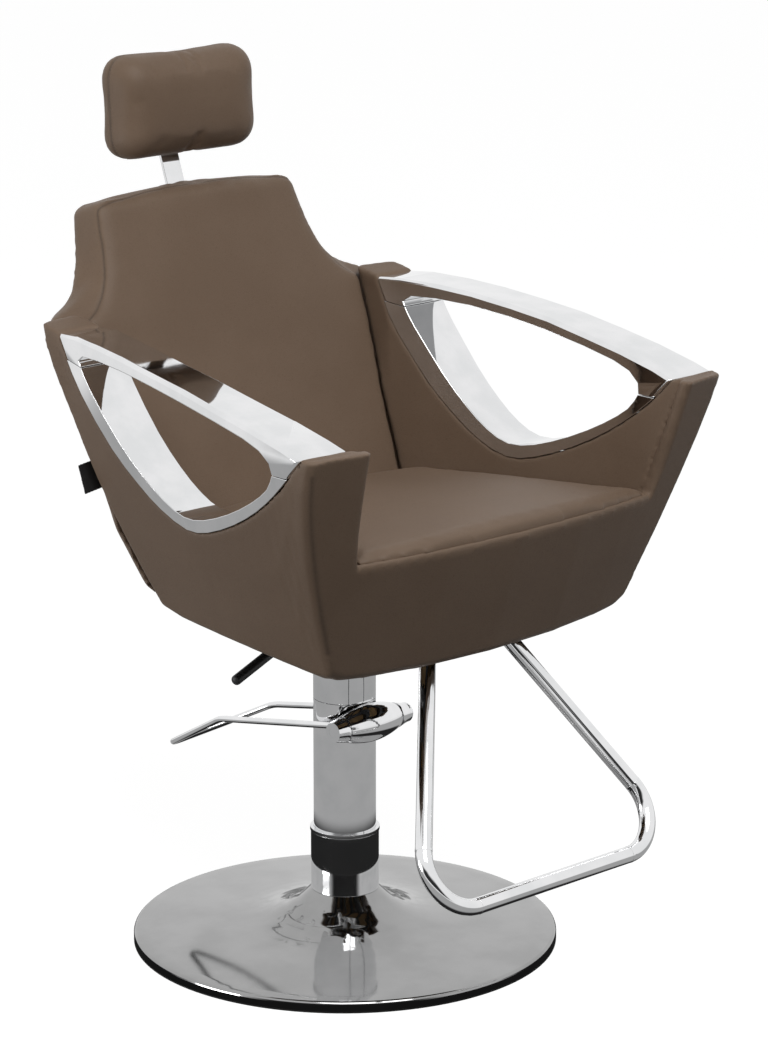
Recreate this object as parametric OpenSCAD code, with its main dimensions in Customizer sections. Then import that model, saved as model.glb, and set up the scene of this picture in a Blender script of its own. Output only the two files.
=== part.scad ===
// Reclining salon chair on a hydraulic column, with a pedal, a fixed footrest and a sliding headrest.
// Millimetres. +Z is up, the chair faces -Y, and the origin is the centre of the disc on the floor.

/* [Base] */
// Diameter of the floor disc
base_d = 580; // [500:5:660]
// Height of the disc's upright rim, above the floor pad
base_rim_h = 13; // [8:1:20]
// Wall of the spun steel cover
cover_wall = 2; // [1.5:0.5:3]
// Height of the cover where it meets the column
base_dome_h = 71; // [60:1:90]
// Height of the flat cone between rim and dome
base_cone_h = 18; // [10:1:26]
// Thickness of the rubber pad on the floor
pad_h = 2; // [1:0.5:4]
// Thickness of the weight plate inside the cover
weight_t = 10; // [6:1:12]

/* [Column] */
// Diameter of the column
column_d = 85; // [76:1:96]
// Wall of the pump cylinder
cylinder_wall = 4; // [3:0.5:6]
// Diameter of the collar on the cover
collar_d = 93; // [90:1:110]
// Height of the collar
collar_h = 88; // [60:1:110]
// Diameter of the lifting rod
rod_d = 44; // [36:1:50]
// Stroke of the lift
lift_stroke = 130; // [80:5:140]

/* [Pump head and pedal] */
// Height of the pedal shaft
pump_z = 316; // [290:1:326]
// Distance of the pedal shaft in front of the column's axis
pump_y = 48; // [44:1:56]
// Diameter of the pump housing at its middle
pump_d = 52; // [46:1:58]
// Diameter of the pedal shaft
shaft_d = 14; // [10:1:18]
// Distance of each pedal rod from the middle, at the shaft
pedal_half_w = 56; // [54:1:60]
// Diameter of the pedal rod
pedal_rod_d = 9; // [7:0.5:12]
// Distance of the pedal's bend behind the column's axis
pedal_bend_y = 200; // [160:5:230]
// Distance of the pedal's tip behind the column's axis
pedal_tip_y = 356; // [320:5:390]

/* [Seat] */
// Width between the armrests at the front
seat_w = 594; // [560:2:640]
// Height of the seat's front edge
seat_h = 645; // [636:1:660]
// Fall of the seat from front to back
seat_fall = 38; // [25:1:45]
// Crown of the seat cushion
seat_crown = 9; // [4:1:14]
// Height of the lower front corners of the shell
shell_low_h = 473; // [468:1:478]
// Distance of the shell's lower front edge from the column's axis
shell_front_y = 284.3; // [274:1:296]
// Forward lean of the shell's front
front_lean = 17.95; // [14:0.5:21]
// Radius that the shell's front bows to
front_bow_r = 1470; // [1200:10:2000]

/* [Armrests] */
// Width of each armrest at its front end
arm_wall_w = 74; // [66:1:84]
// Height of the armrest's rear end
arm_top_h = 861; // [850:1:880]
// Thickness of the sheet and lips of the window liner
liner_wall = 3; // [2:0.5:4]
// Thickness of the upholstered front
front_t = 18; // [14:1:24]

/* [Backrest] */
// Height of the backrest's upper corners
back_top_h = 995; // [960:5:1030]
// Lean of the backrest from upright
back_lean = 23.85; // [20:0.5:27]
// Thickness of the back cushion
back_cushion_t = 30; // [24:1:36]
// Thickness of the rear shell
back_shell_t = 36; // [28:1:40]
// Arch of the backrest's upper edge
back_arch = 18; // [0:1:24]

/* [Headrest] */
// Width of the headrest pad
head_w = 252; // [220:2:290]
// Height of the headrest pad
head_h = 146; // [120:2:170]
// Thickness of the headrest pad
head_t = 62; // [50:1:74]
// Height of the pad's centre
head_z = 1121; // [1100:1:1150]
// Width of the flat bar
bar_w = 31; // [24:1:36]
// Thickness of the flat bar
bar_t = 5; // [4:0.5:9]

/* [Footrest] */
// Diameter of the footrest tube
foot_tube_d = 22; // [19:1:26]
// Width of the loop between its lower corners
foot_w = 476; // [420:4:520]
// Height of the crossbar
foot_z = 184; // [170:1:220]
// Distance of the crossbar in front of the column's axis
foot_y = 397.5; // [370:0.5:420]
// Radius of the loop's bends
foot_bend_r = 60; // [45:1:70]

/* [Lever] */
// Height of the lever's tip
lever_tip_z = 407; // [398:1:416]
// Distance of the lever's tip from the column's axis
lever_reach = 206; // [180:2:230]
// Diameter of the lever's grip
grip_d = 14; // [11:0.5:18]

/* [Hidden] */

// Clearances and overruns
soft_gap = 0.3;
run_gap = 0.05;
cut = 1;
fine_fn = 96;
tube_fn = 48;

// Colours
leather = [0.42, 0.36, 0.31];
steel = [0.80, 0.80, 0.81];
dark = [0.12, 0.12, 0.12];
frame_grey = [0.30, 0.31, 0.33];
plywood = [0.72, 0.58, 0.40];

// Share of the way from a low to a high value, held between 0 and 1
function share_of(v, low, high) = max(0, min(1, (v - low) / (high - low)));
function mix(a, b, t) = a + (b - a) * t;

// A smooth curve through the rows of a table, with each span cut into steps
function curve_point(r, i, t) =
  let (n = len(r) - 1, a = r[max(0, i - 1)], b = r[i], c = r[min(n, i + 1)], d = r[min(n, i + 2)])
  0.5 * (2 * b + (c - a) * t + (2 * a - 5 * b + 4 * c - d) * t * t + (3 * b - a - 3 * c + d) * t * t * t);
function smooth_rows(r, steps) =
  [for (i = [0 : len(r) - 2]) for (k = [0 : steps - 1]) curve_point(r, i, k / steps), r[len(r) - 1]];
function straight_rows(r, steps) =
  [for (i = [0 : len(r) - 2]) for (k = [0 : steps - 1]) mix(r[i], r[i + 1], k / steps), r[len(r) - 1]];
// Value at v in a table of [place, value] rows
function table_at(rows, v, i = 0) =
  v <= rows[0][0] ? rows[0][1]
  : i >= len(rows) - 1 ? rows[len(rows) - 1][1]
  : v <= rows[i + 1][0] ? mix(rows[i][1], rows[i + 1][1], (v - rows[i][0]) / (rows[i + 1][0] - rows[i][0]))
  : table_at(rows, v, i + 1);

// A solid through loops of points, one loop at each station, closed at both ends by fans
// of triangles round the middle of the loop
function middle(loop) = [for (a = [1 : len(loop)]) 1] * loop / len(loop);
function side_faces(n, m) = [for (i = [0 : n - 2]) for (j = [0 : m - 1]) each [
  [i * m + j, (i + 1) * m + j, (i + 1) * m + (j + 1) % m],
  [i * m + j, (i + 1) * m + (j + 1) % m, i * m + (j + 1) % m]]];
module loft(loops) {
  n = len(loops);
  m = len(loops[0]);
  polyhedron(points = concat([for (l = loops) each l], [middle(loops[0]), middle(loops[n - 1])]),
    convexity = 6, faces = concat(side_faces(n, m),
      [for (j = [0 : m - 1]) [n * m, j, (j + 1) % m]],
      [for (j = [0 : m - 1]) [n * m + 1, (n - 1) * m + (j + 1) % m, (n - 1) * m + j]]));
}
// The same, with flat many-sided ends
module flat_loft(loops) {
  n = len(loops);
  m = len(loops[0]);
  polyhedron(points = [for (l = loops) each l], convexity = 6, faces = concat(side_faces(n, m),
    [[for (j = [0 : m - 1]) j]], [[for (j = [0 : m - 1]) (n - 1) * m + m - 1 - j]]));
}
// Points of a smooth turn from a to c round the corner b
function turn(a, b, c, n) = [for (i = [0 : n])
  let (t = i / n) (1 - t) * (1 - t) * a + 2 * t * (1 - t) * b + t * t * c];
function unit_of(v) = v / norm(v);
// A round rod bent along a path that nowhere runs upright
module bent_rod(path, d, sides) {
  n = len(path) - 1;
  loft([for (i = [0 : n])
    let (along = unit_of(path[min(i + 1, n)] - path[max(i - 1, 0)]),
      side_way = unit_of(cross(along, [0, 0, 1])), over = cross(along, side_way))
    [for (k = [0 : sides - 1])
      path[i] + d / 2 * (cos(360 * k / sides) * side_way + sin(360 * k / sides) * over)]]);
}
// A straight round bar between two points
module bar(a, b, d, fn = tube_fn) {
  v = b - a;
  translate(a)
    rotate([0, acos(v[2] / norm(v)), atan2(v[1], v[0])])
      cylinder(d = d, h = norm(v), $fn = fn);
}
module both_sides() {
  children();
  mirror([1, 0, 0]) children();
}

// The armrest in plan and side view
arm_front_y = -320;
arm_rear_y = 195;
window_low_h = 643;
arms_w = seat_w + 2 * arm_wall_w;
out_taper = arms_w * 0.0687;
in_taper = seat_w * 0.0936;
in_stop_share = 0.95;
out_fall_in = arms_w * 0.1429;
in_fall_in = seat_w * 0.1178;
out_power = 1.6;
out_front_power = 1.4;
in_power = 1.4;
function along_share(y) = max(0, min(1, (y - arm_front_y) / (arm_rear_y - arm_front_y)));
function down_share(z) = share_of(arm_top_h - z, 0, arm_top_h - shell_low_h);
// The outer face starts to lean in under the armrest's upper edge, which dips towards the front
top_dip = 75;
out_start_drop = 6;
function top_edge(y) = arm_top_h - top_dip * pow(1 - along_share(y), 2) - out_start_drop;
function x_out(y, z) = arms_w / 2 - out_taper * pow(along_share(y), 2)
  - out_fall_in * pow(share_of(top_edge(y) - z, 0, top_edge(y) - shell_low_h),
      mix(out_front_power, out_power, min(1, 2 * along_share(y))));
function x_in(y, z) = seat_w / 2 - in_taper * pow(min(along_share(y), in_stop_share), 3)
  - in_fall_in * pow(down_share(z), in_power);

// The bowed and leaning front, and the plane that the back cushion's face lies in
function y_front(x, z) = -shell_front_y - (z - shell_low_h) * tan(front_lean) + x * x / (2 * front_bow_r);
back_foot_y = 120;
back_foot_z = 605;
function y_back(z) = back_foot_y + (z - back_foot_z) * tan(back_lean);

// Rows of [y share, z share] of the window's rim and of the liner's outer edge,
// from the rear split round the bottom to the front split
liner_shares = [
  [0.905, 0.821, 0.976, 0.843], [0.870, 0.702, 0.921, 0.651], [0.767, 0.436, 0.809, 0.362],
  [0.680, 0.261, 0.713, 0.188], [0.602, 0.142, 0.628, 0.068], [0.524, 0.078, 0.526, -0.008],
  [0.437, 0.101, 0.431, 0.023], [0.320, 0.197, 0.307, 0.133], [0.214, 0.317, 0.196, 0.271],
  [0.136, 0.436, 0.109, 0.413], [0.107, 0.532, 0.050, 0.532]];
// The same for the plate over the window, from the front split to the rear split
plate_shares = [
  [0.107, 0.532, 0.050, 0.532], [0.113, 0.601, 0.000, 0.661], [0.146, 0.661, 0.058, 0.702],
  [0.204, 0.706, 0.175, 0.771], [0.311, 0.757, 0.301, 0.830], [0.447, 0.812, 0.437, 0.890],
  [0.571, 0.853, 0.567, 0.931], [0.699, 0.885, 0.699, 0.968], [0.816, 0.899, 0.816, 0.991],
  [0.889, 0.894, 0.930, 1.005], [0.913, 0.858, 1.011, 1.000], [0.905, 0.821, 0.976, 0.843]];
function arm_y(s) = mix(arm_front_y, arm_rear_y, s);
function arm_z(s) = mix(window_low_h, arm_top_h, s);
function arm_rows(shares) = [for (r = shares) [arm_y(r[0]), arm_z(r[1]), arm_y(r[2]), arm_z(r[3])]];
liner_steps = 2;
liner_rows = smooth_rows(arm_rows(liner_shares), liner_steps);
plate_rows = arm_rows(plate_shares);

/* The floor disc */

base_r = base_d / 2;
cover_in_r = column_d / 2 + run_gap;
dome_power = 7;
cover_turns = 14;
function cover_z(r) = let (u = (base_r - r) / (base_r - collar_d / 2))
  pad_h + base_rim_h + base_cone_h * u
  + (base_dome_h - pad_h - base_rim_h - base_cone_h) * pow(u, dome_power);
rim_round = 4;
function cover_line(drop) = [for (k = [0 : cover_turns])
  let (r = mix(base_r - rim_round, collar_d / 2, k / cover_turns)) [r, cover_z(r) - drop]];
module base_cover() {
  color(steel) rotate_extrude($fn = 180) polygon(concat(
    [[base_r - cover_wall, pad_h], [base_r, pad_h], [base_r, cover_z(base_r) - rim_round]],
    [for (a = [30, 60]) [base_r - rim_round + rim_round * cos(a),
      cover_z(base_r) - rim_round + rim_round * sin(a)]],
    cover_line(0),
    [[cover_in_r, base_dome_h], [cover_in_r, base_dome_h - cover_wall]],
    [for (k = [cover_turns : -1 : 0]) cover_line(cover_wall)[k]],
    [[base_r - cover_wall, cover_z(base_r) - rim_round]]));
}
weight_side_gap = 2;
weight_d = base_d - 2 * cover_wall - 2 * weight_side_gap;
module weight_plate() {
  color(frame_grey) translate([0, 0, pad_h]) difference() {
    cylinder(d = weight_d, h = weight_t, $fn = 180);
    flange_holes(weight_t);
  }
}
module floor_pad() {
  color(dark) cylinder(d = base_d, h = pad_h, $fn = 180);
}
flange_d = 150;
flange_t = 10;
bolt_d = 8;
bolt_head_d = 13;
bolt_head_h = 5;
flange_bolt_r = 60;
flange_bolt_count = 6;
flange_z = pad_h + weight_t;
module flange_bolt_places() {
  for (k = [0 : flange_bolt_count - 1])
    rotate([0, 0, k * 360 / flange_bolt_count]) translate([flange_bolt_r, 0, 0]) children();
}
module flange_holes(h) {
  flange_bolt_places() translate([0, 0, -cut])
    cylinder(d = bolt_d + 2 * run_gap, h = h + 2 * cut, $fn = tube_fn);
}
module column_flange() {
  color(frame_grey) translate([0, 0, flange_z]) difference() {
    cylinder(d = flange_d, h = flange_t, $fn = fine_fn);
    translate([0, 0, -cut]) cylinder(d = column_d + 2 * run_gap, h = flange_t + 2 * cut, $fn = fine_fn);
    flange_holes(flange_t);
  }
}
module flange_bolts() {
  color(steel) flange_bolt_places() {
    translate([0, 0, pad_h]) cylinder(d = bolt_d, h = weight_t + flange_t, $fn = tube_fn);
    translate([0, 0, flange_z + flange_t]) cylinder(d = bolt_head_d, h = bolt_head_h, $fn = 6);
  }
}

/* The column */

cylinder_floor = 8;
cylinder_top = pump_z + pump_d / 2 + soft_gap;
module pump_cylinder() {
  color(steel) difference() {
    translate([0, 0, flange_z]) cylinder(d = column_d, h = cylinder_top - flange_z, $fn = fine_fn);
    translate([0, 0, flange_z + cylinder_floor])
      cylinder(d = column_d - 2 * cylinder_wall, h = cylinder_top, $fn = fine_fn);
    translate([0, -pump_y, pump_z]) rotate([0, 90, 0])
      cylinder(d = pump_d + 2 * run_gap, h = column_d, center = true, $fn = fine_fn);
  }
}
collar_ring_h = 5;
collar_ring_out = 1;
module column_collar() {
  color(dark) translate([0, 0, base_dome_h])
    difference() {
      cylinder(d = collar_d, h = collar_h - collar_ring_h, $fn = fine_fn);
      translate([0, 0, -cut]) cylinder(d = column_d + 2 * run_gap, h = collar_h, $fn = fine_fn);
    }
}
module collar_ring() {
  color(steel) translate([0, 0, base_dome_h + collar_h - collar_ring_h])
    difference() {
      cylinder(d = collar_d + 2 * collar_ring_out, h = collar_ring_h, $fn = fine_fn);
      translate([0, 0, -cut]) cylinder(d = column_d + 2 * run_gap, h = collar_h, $fn = fine_fn);
    }
}
bush_h = 34;
bush_bore_d = rod_d + 2 * run_gap;
pump_pocket = 1;
module guide_bush() {
  color(dark) difference() {
    translate([0, 0, cylinder_top - bush_h])
      cylinder(d = column_d - 2 * cylinder_wall - 2 * run_gap, h = bush_h, $fn = fine_fn);
    translate([0, 0, cylinder_top - bush_h - cut])
      cylinder(d = bush_bore_d, h = bush_h + 2 * cut, $fn = fine_fn);
    translate([0, -pump_y, pump_z]) rotate([0, 90, 0])
      cylinder(d = pump_d + 2 * pump_pocket, h = column_d, center = true, $fn = fine_fn);
  }
}
// The housing lies across the front of the column, thick in the middle and slimmer at its ends
housing_half_w = 46;
housing_end_d = 35;
housing_steps = 12;
housing_power = 0.85;
end_cap_w = 7;
end_cap_d = 27;
module across(x = 0) { translate([x, -pump_y, pump_z]) rotate([0, 90, 0]) children(); }
plunger_d = 16;
plunger_chamber_h = 34;
module pump_head() {
  color(steel) difference() {
    across() rotate_extrude($fn = fine_fn) polygon(concat([[0, -housing_half_w]],
      [for (k = [-housing_steps : housing_steps]) let (u = k / housing_steps)
        [mix(housing_end_d, pump_d, pow(max(0, cos(90 * u)), housing_power)) / 2, u * housing_half_w]],
      [[0, housing_half_w]]));
    across(-housing_half_w - cut)
      cylinder(d = shaft_d + 2 * run_gap, h = 2 * housing_half_w + 2 * cut, $fn = tube_fn);
    cylinder(d = rod_d + 2 * pump_pocket, h = cylinder_top + cut, $fn = fine_fn);
    translate([0, -pump_y, pump_z - plunger_chamber_h / 2 - shaft_d / 2])
      cylinder(d = plunger_d + 2 * run_gap, h = plunger_chamber_h / 2 + shaft_d / 2, $fn = tube_fn);
  }
}
module pump_end_cap() {
  bore_r = shaft_d / 2 + run_gap;
  color(steel) across(housing_half_w + pedal_hub_w + 2 * run_gap)
    rotate_extrude($fn = fine_fn) polygon(concat(
      [[0, end_cap_w * 0.4], [bore_r, end_cap_w * 0.4], [bore_r, 0], [end_cap_d / 2, 0]],
      [for (a = [0 : 15 : 90]) [end_cap_d / 2 * mix(0.55, 1, cos(a)), end_cap_w * mix(0.35, 1, sin(a))]],
      [[0, end_cap_w]]));
}

/* The pedal */

pedal_hub_w = 2 * (pedal_half_w - housing_half_w) - 2 * run_gap;
pedal_hub_slot_w = 2.5;
pedal_hub_slot = 2;
pedal_root_rise = 7.3;
pedal_bend_half_w = 48.5;
pedal_bend_z = 275;
pedal_tip_z = 195;
pedal_tip_half_w = 6;
pedal_bend_r = 12;
pedal_sides = 20;
pedal_turn_steps = 6;
flat_depth = 1.5;
module pedal_shaft() {
  color(steel) difference() {
    across(-housing_half_w - pedal_hub_w)
      cylinder(d = shaft_d, h = 2 * housing_half_w + 2 * pedal_hub_w + end_cap_w * 0.35, $fn = tube_fn);
    translate([-plunger_d / 2 - run_gap, -pump_y - shaft_d / 2, pump_z - shaft_d / 2 - cut])
      cube([plunger_d + 2 * run_gap, shaft_d, flat_depth + cut]);
  }
}
// A hub with a slot turned at its inner end, which narrows to the end cap
module pedal_hub() {
  across(housing_half_w + run_gap) rotate_extrude($fn = fine_fn) polygon([
    [0, 0], [housing_end_d / 2 - pedal_hub_slot, 0], [housing_end_d / 2 - pedal_hub_slot, pedal_hub_slot_w],
    [housing_end_d / 2, pedal_hub_slot_w], [mix(housing_end_d, end_cap_d, 0.6) / 2, pedal_hub_w * 0.6],
    [end_cap_d / 2, pedal_hub_w], [0, pedal_hub_w]]);
}
module pedal_loop() {
  hub_mid = [pedal_half_w, -pump_y, pump_z + pedal_root_rise];
  bend = [pedal_bend_half_w, pedal_bend_y, pedal_bend_z];
  tip = [0, pedal_tip_y, pedal_tip_z];
  tip_way = unit_of(tip - [0, pedal_bend_y, pedal_bend_z]);
  tip_mid = tip - tip_way * pedal_tip_half_w;
  tip_in = tip_mid + [pedal_tip_half_w, 0, 0];
  in_way = unit_of(bend - hub_mid);
  start = hub_mid + in_way * shaft_d * 0.75;
  out_way = unit_of(tip_in - bend);
  half = concat([start],
    turn(bend - in_way * pedal_bend_r, bend, bend + out_way * pedal_bend_r, pedal_turn_steps));
  tip_arc = [for (k = [0 : pedal_turn_steps]) let (a = 180 * k / pedal_turn_steps)
    tip_mid + pedal_tip_half_w * (cos(a) * [1, 0, 0] + sin(a) * tip_way)];
  color(steel) difference() {
    union() {
      both_sides() pedal_hub();
      bent_rod(concat(half, tip_arc,
          [for (k = [len(half) - 1 : -1 : 0]) [-half[k][0], half[k][1], half[k][2]]]),
        pedal_rod_d, pedal_sides);
    }
    across(-housing_half_w - pedal_hub_w - cut) cylinder(d = shaft_d + 2 * run_gap,
      h = 2 * (housing_half_w + pedal_hub_w + cut), $fn = tube_fn);
  }
}
plunger_h = 12;
module pump_plunger() {
  color(steel) translate([0, -pump_y, pump_z - shaft_d / 2 + flat_depth - soft_gap - plunger_h])
    cylinder(d = plunger_d, h = plunger_h, $fn = tube_fn);
}

/* What the lift carries */

piston_h = 20;
rod_foot_z = pump_z - pump_d / 2 - lift_stroke - piston_h - soft_gap;
cone_under = 6;
cone_z = shell_low_h - cone_under;
cone_h = 8;
module lift_rod() {
  color(steel) translate([0, 0, rod_foot_z]) cylinder(d = rod_d, h = cone_z - rod_foot_z, $fn = fine_fn);
}
module rod_piston() {
  color(dark) translate([0, 0, rod_foot_z]) difference() {
    cylinder(d = column_d - 2 * cylinder_wall - 2 * run_gap, h = piston_h, $fn = fine_fn);
    translate([0, 0, -cut]) cylinder(d = rod_d, h = piston_h + 2 * cut, $fn = fine_fn);
  }
}
sleeve_wall = 3;
sleeve_foot_z = cylinder_top + soft_gap;
module column_sleeve() {
  color(steel) translate([0, 0, sleeve_foot_z]) difference() {
    cylinder(d = column_d, h = cone_z - sleeve_foot_z, $fn = fine_fn);
    translate([0, 0, -cut]) cylinder(d = column_d - 2 * sleeve_wall, h = cone_z, $fn = fine_fn);
  }
}
cone_flare = 5;
cone_d = column_d + 2 * cone_flare;
spigot_d = 30;
module swivel_cone() {
  color(frame_grey) {
    translate([0, 0, cone_z]) cylinder(d1 = column_d, d2 = cone_d, h = cone_h - soft_gap, $fn = fine_fn);
    translate([0, 0, cone_z]) cylinder(d = spigot_d, h = cone_h + plate_t, $fn = fine_fn);
  }
}

/* The seat's frame */

plate_t = 8;
plate_w = 150;
plate_z = cone_z + cone_h;
rail_z = plate_z + plate_t;
rail_h = 40;
rail_w = 25;
rail_x = seat_w * 0.2896;
rail_front_y = -255;
rail_rear_y = 56;
cross_front_y = -243;
cross_rear_y = 30;
cross_h = 22;
plate_bolt_x = 60;
plate_bolt_y = 60;
module swivel_plate() {
  color(frame_grey) difference() {
    translate([-plate_w / 2, -plate_w / 2, plate_z]) cube([plate_w, plate_w, plate_t]);
    translate([0, 0, plate_z - cut])
      cylinder(d = spigot_d + 2 * run_gap, h = plate_t + 2 * cut, $fn = fine_fn);
    plate_bolt_places() translate([0, 0, plate_z - cut])
      cylinder(d = bolt_d + 2 * run_gap, h = plate_t + 2 * cut, $fn = tube_fn);
  }
}
module plate_bolt_places() {
  for (x = [-plate_bolt_x, plate_bolt_x], y = [-plate_bolt_y, plate_bolt_y])
    translate([x, y, 0]) children();
}
beam_w = 24;
beam_low_front_y = -195;
module plate_bolts() {
  color(steel) plate_bolt_places() {
    translate([0, 0, plate_z - bolt_head_h]) cylinder(d = bolt_head_d, h = bolt_head_h, $fn = 6);
    translate([0, 0, plate_z]) cylinder(d = bolt_d, h = plate_t + rail_h / 2, $fn = tube_fn);
  }
}
module seat_frame() {
  color(frame_grey) difference() {
    union() {
      for (s = [-1, 1]) {
        translate([s * rail_x - rail_w / 2, rail_front_y, rail_z])
          cube([rail_w, rail_rear_y - rail_front_y, rail_h]);
        translate([s * plate_bolt_x - beam_w / 2, rail_front_y, rail_z + rail_h - cross_h])
          cube([beam_w, cross_rear_y - rail_front_y, cross_h]);
        translate([s * plate_bolt_x - beam_w / 2, beam_low_front_y, rail_z])
          cube([beam_w, cross_rear_y - beam_low_front_y, rail_h]);
      }
      for (y = [cross_front_y, cross_rear_y])
        translate([-rail_x, y - beam_w / 2, rail_z + rail_h - cross_h]) cube([2 * rail_x, beam_w, cross_h]);
    }
    plate_bolt_places() translate([0, 0, rail_z - cut])
      cylinder(d = bolt_d + 2 * run_gap, h = rail_h / 2 + 2 * cut, $fn = tube_fn);
  }
}
board_t = 15;
board_z = rail_z + rail_h;
board_inset = 12;
board_rear_y = 62;
board_front_shares = [-0.4, -0.2, 0, 0.2, 0.4];
module seat_board() {
  z_mid = board_z + board_t / 2;
  rear_half = x_in(board_rear_y, z_mid) - board_inset;
  mid_half = x_in(0, z_mid) - board_inset;
  color(plywood) translate([0, 0, board_z]) linear_extrude(board_t) polygon(concat(
    [[-rear_half, board_rear_y], [-mid_half, 0]],
    [for (s = board_front_shares) [s * seat_w, y_front(s * seat_w, board_z) + front_t + soft_gap]],
    [[mid_half, 0], [rear_half, board_rear_y]]));
}

/* The upholstered shell */

lip_h = 11;
panel_top_h = seat_h - lip_h;
edge_round = 7;
front_sag = 8;
corner_top_in = 20;
corner_low_in = 14;
corner_rise = 9;
horn_out_drop = 3;
// Half of the front, from the middle out to the top of the horn, in pairs of corners:
// upper and lower along the front, inner and outer up the horn
horn_rise = 4;
horn_top_h = arm_z(plate_shares[1][3]) + horn_rise;
function on_front(x, z, back = 0) = [x, y_front(x, z) + back, z];
horn_top_in = 8;
function horn_in(z) = [x_in(y_front(seat_w / 2, z), z)
  - horn_top_in * share_of(z, seat_h + seat_crown, horn_top_h), z];
function horn_out(z) = [x_out(y_front(arms_w / 2, z), z), z];
function front_pair(k) =
  k == 0 ? [[0, panel_top_h], [0, shell_low_h - front_sag]]
  : k == 1 ? [[seat_w * 0.2, panel_top_h], [seat_w * 0.2, shell_low_h - front_sag * 0.85]]
  : k == 2 ? [[seat_w * 0.36, panel_top_h], [seat_w * 0.36, shell_low_h - front_sag * 0.4]]
  : k == 3 ? [[horn_in(panel_top_h)[0] - corner_top_in, panel_top_h],
              [horn_out(shell_low_h)[0] - corner_low_in, shell_low_h]]
  : k == 4 ? [horn_in(panel_top_h), horn_out(shell_low_h + corner_rise)]
  : k == 5 ? [horn_in(mix(panel_top_h, horn_top_h, 0.12)), horn_out(mix(shell_low_h, horn_top_h, 0.3))]
  : k == 6 ? [horn_in(mix(panel_top_h, horn_top_h, 0.3)), horn_out(mix(shell_low_h, horn_top_h, 0.55))]
  : k == 7 ? [horn_in(mix(panel_top_h, horn_top_h, 0.55)), horn_out(mix(shell_low_h, horn_top_h, 0.72))]
  : k == 8 ? [horn_in(mix(panel_top_h, horn_top_h, 0.8)), horn_out(mix(shell_low_h, horn_top_h, 0.87))]
  : [horn_in(horn_top_h), horn_out(horn_top_h - horn_out_drop)];
front_last = 9;
function mirror_pair(p) = [[-p[0][0], p[0][1]], [-p[1][0], p[1][1]]];
function front_loop(p) =
  let (t = p[0], b = p[1], v = b - t, e = edge_round / norm(v), t2 = t + v * e, b2 = b - v * e)
  [on_front(t2[0], t2[1]), on_front(b2[0], b2[1]), on_front(b[0], b[1], edge_round),
   on_front(b[0], b[1], front_t), on_front(t[0], t[1], front_t), on_front(t[0], t[1], edge_round)];
module front_panel() {
  color(leather) loft(concat(
    [for (k = [front_last : -1 : 1]) front_loop(mirror_pair(front_pair(k)))],
    [for (k = [0 : front_last]) front_loop(front_pair(k))]));
}

// The side panel runs from the wing at the back, under the window, to the horn at the front.
// Its inner rows follow the liner's edge, its outer rows the panel's outline.
panel_low_rise = 16;
wing_in_gap = 12;
wing_out_gap = 27;
// Rows of [share of the height, share of the gap behind the back cushion's plane] down the outer rear edge
wing_shares = [[0, 1], [0.45, 1], [0.55, 0.85], [0.72, 0.62], [0.9, 0.5], [1, 0.2]];
wing_rise = 8;
wing_round = 14;
horn_gap = front_t + 5 * soft_gap;
panel_steps = 2;
panel_inner_rows = smooth_rows(concat(
  [[arm_y(plate_shares[10][2]) + soft_gap, arm_top_h]],
  [for (r = arm_rows(liner_shares)) [r[2], r[3]]],
  [[arm_front_y - soft_gap, arm_z(plate_shares[1][3])]]), panel_steps);
low_rear_z = shell_low_h + panel_low_rise;
// Heights down the rear edge, along the bottom and up the front: each y follows from the face it lies on
rear_edge_shares = [0.84, 0.68, 0.46, 0.24, 0];
low_edge_shares = [0.2, 0.43, 0.7];
front_edge_shares = [0, 0.28, 0.65, 1];
panel_outer_z = straight_rows(concat([arm_top_h + wing_rise],
  [for (s = rear_edge_shares) mix(low_rear_z, arm_top_h, s)],
  [for (s = low_edge_shares) mix(low_rear_z, shell_low_h, s)],
  [for (s = front_edge_shares) mix(shell_low_h, horn_top_h, s)]), panel_steps);
panel_rear_last = 5 * panel_steps;
panel_front_first = 9 * panel_steps;
function panel_y_rear(z, out) = y_back(z)
  + (out ? wing_out_gap * table_at(wing_shares, share_of(z, low_rear_z, arm_top_h)) : wing_in_gap);
function panel_y_front(z, out) =
  y_front(out ? x_out(arm_front_y, z) - panel_round : x_in(arm_front_y, z) + panel_round, z) + horn_gap;
function panel_outer_y(i, out) =
  let (z = panel_outer_z[i])
  i <= panel_rear_last ? panel_y_rear(z, out)
  : i >= panel_front_first ? panel_y_front(z, out)
  : mix(panel_y_rear(low_rear_z, out), panel_y_front(shell_low_h, out),
      (i - panel_rear_last) / (panel_front_first - panel_rear_last));
panel_mid_shares = [0.35, 0.7];
panel_round = 8;
panel_round_share = 0.85;
function panel_point(w, o, s, out, inset = 0) =
  let (y = mix(w[0], o[0], s), z = mix(w[1], o[1], s))
  [out ? x_out(y, z) - inset : x_in(y, z) + inset, y, z];
function panel_loop(i) =
  let (w = panel_inner_rows[i], z = panel_outer_z[i],
    oi = [panel_outer_y(i, false), z], oo = [panel_outer_y(i, true), z],
    r = i <= panel_rear_last ? wing_round : panel_round,
    ei = max(panel_round_share, 1 - panel_round / norm(oi - w)),
    eo = max(panel_round_share, 1 - r / norm(oo - w)))
  concat([panel_point(w, oi, 0, false)], [for (s = panel_mid_shares) panel_point(w, oi, s, false)],
    [panel_point(w, oi, ei, false), panel_point(w, oi, 1, false, panel_round),
     panel_point(w, oo, 1, true, r), panel_point(w, oo, eo, true)],
    [for (k = [len(panel_mid_shares) - 1 : -1 : 0]) panel_point(w, oo, panel_mid_shares[k], true)],
    [panel_point(w, oo, 0, true)]);
module side_panel_left() {
  color(leather) loft([for (i = [0 : len(panel_inner_rows) - 1]) panel_loop(i)]);
}
module side_panel_right() { mirror([1, 0, 0]) side_panel_left(); }

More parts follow.
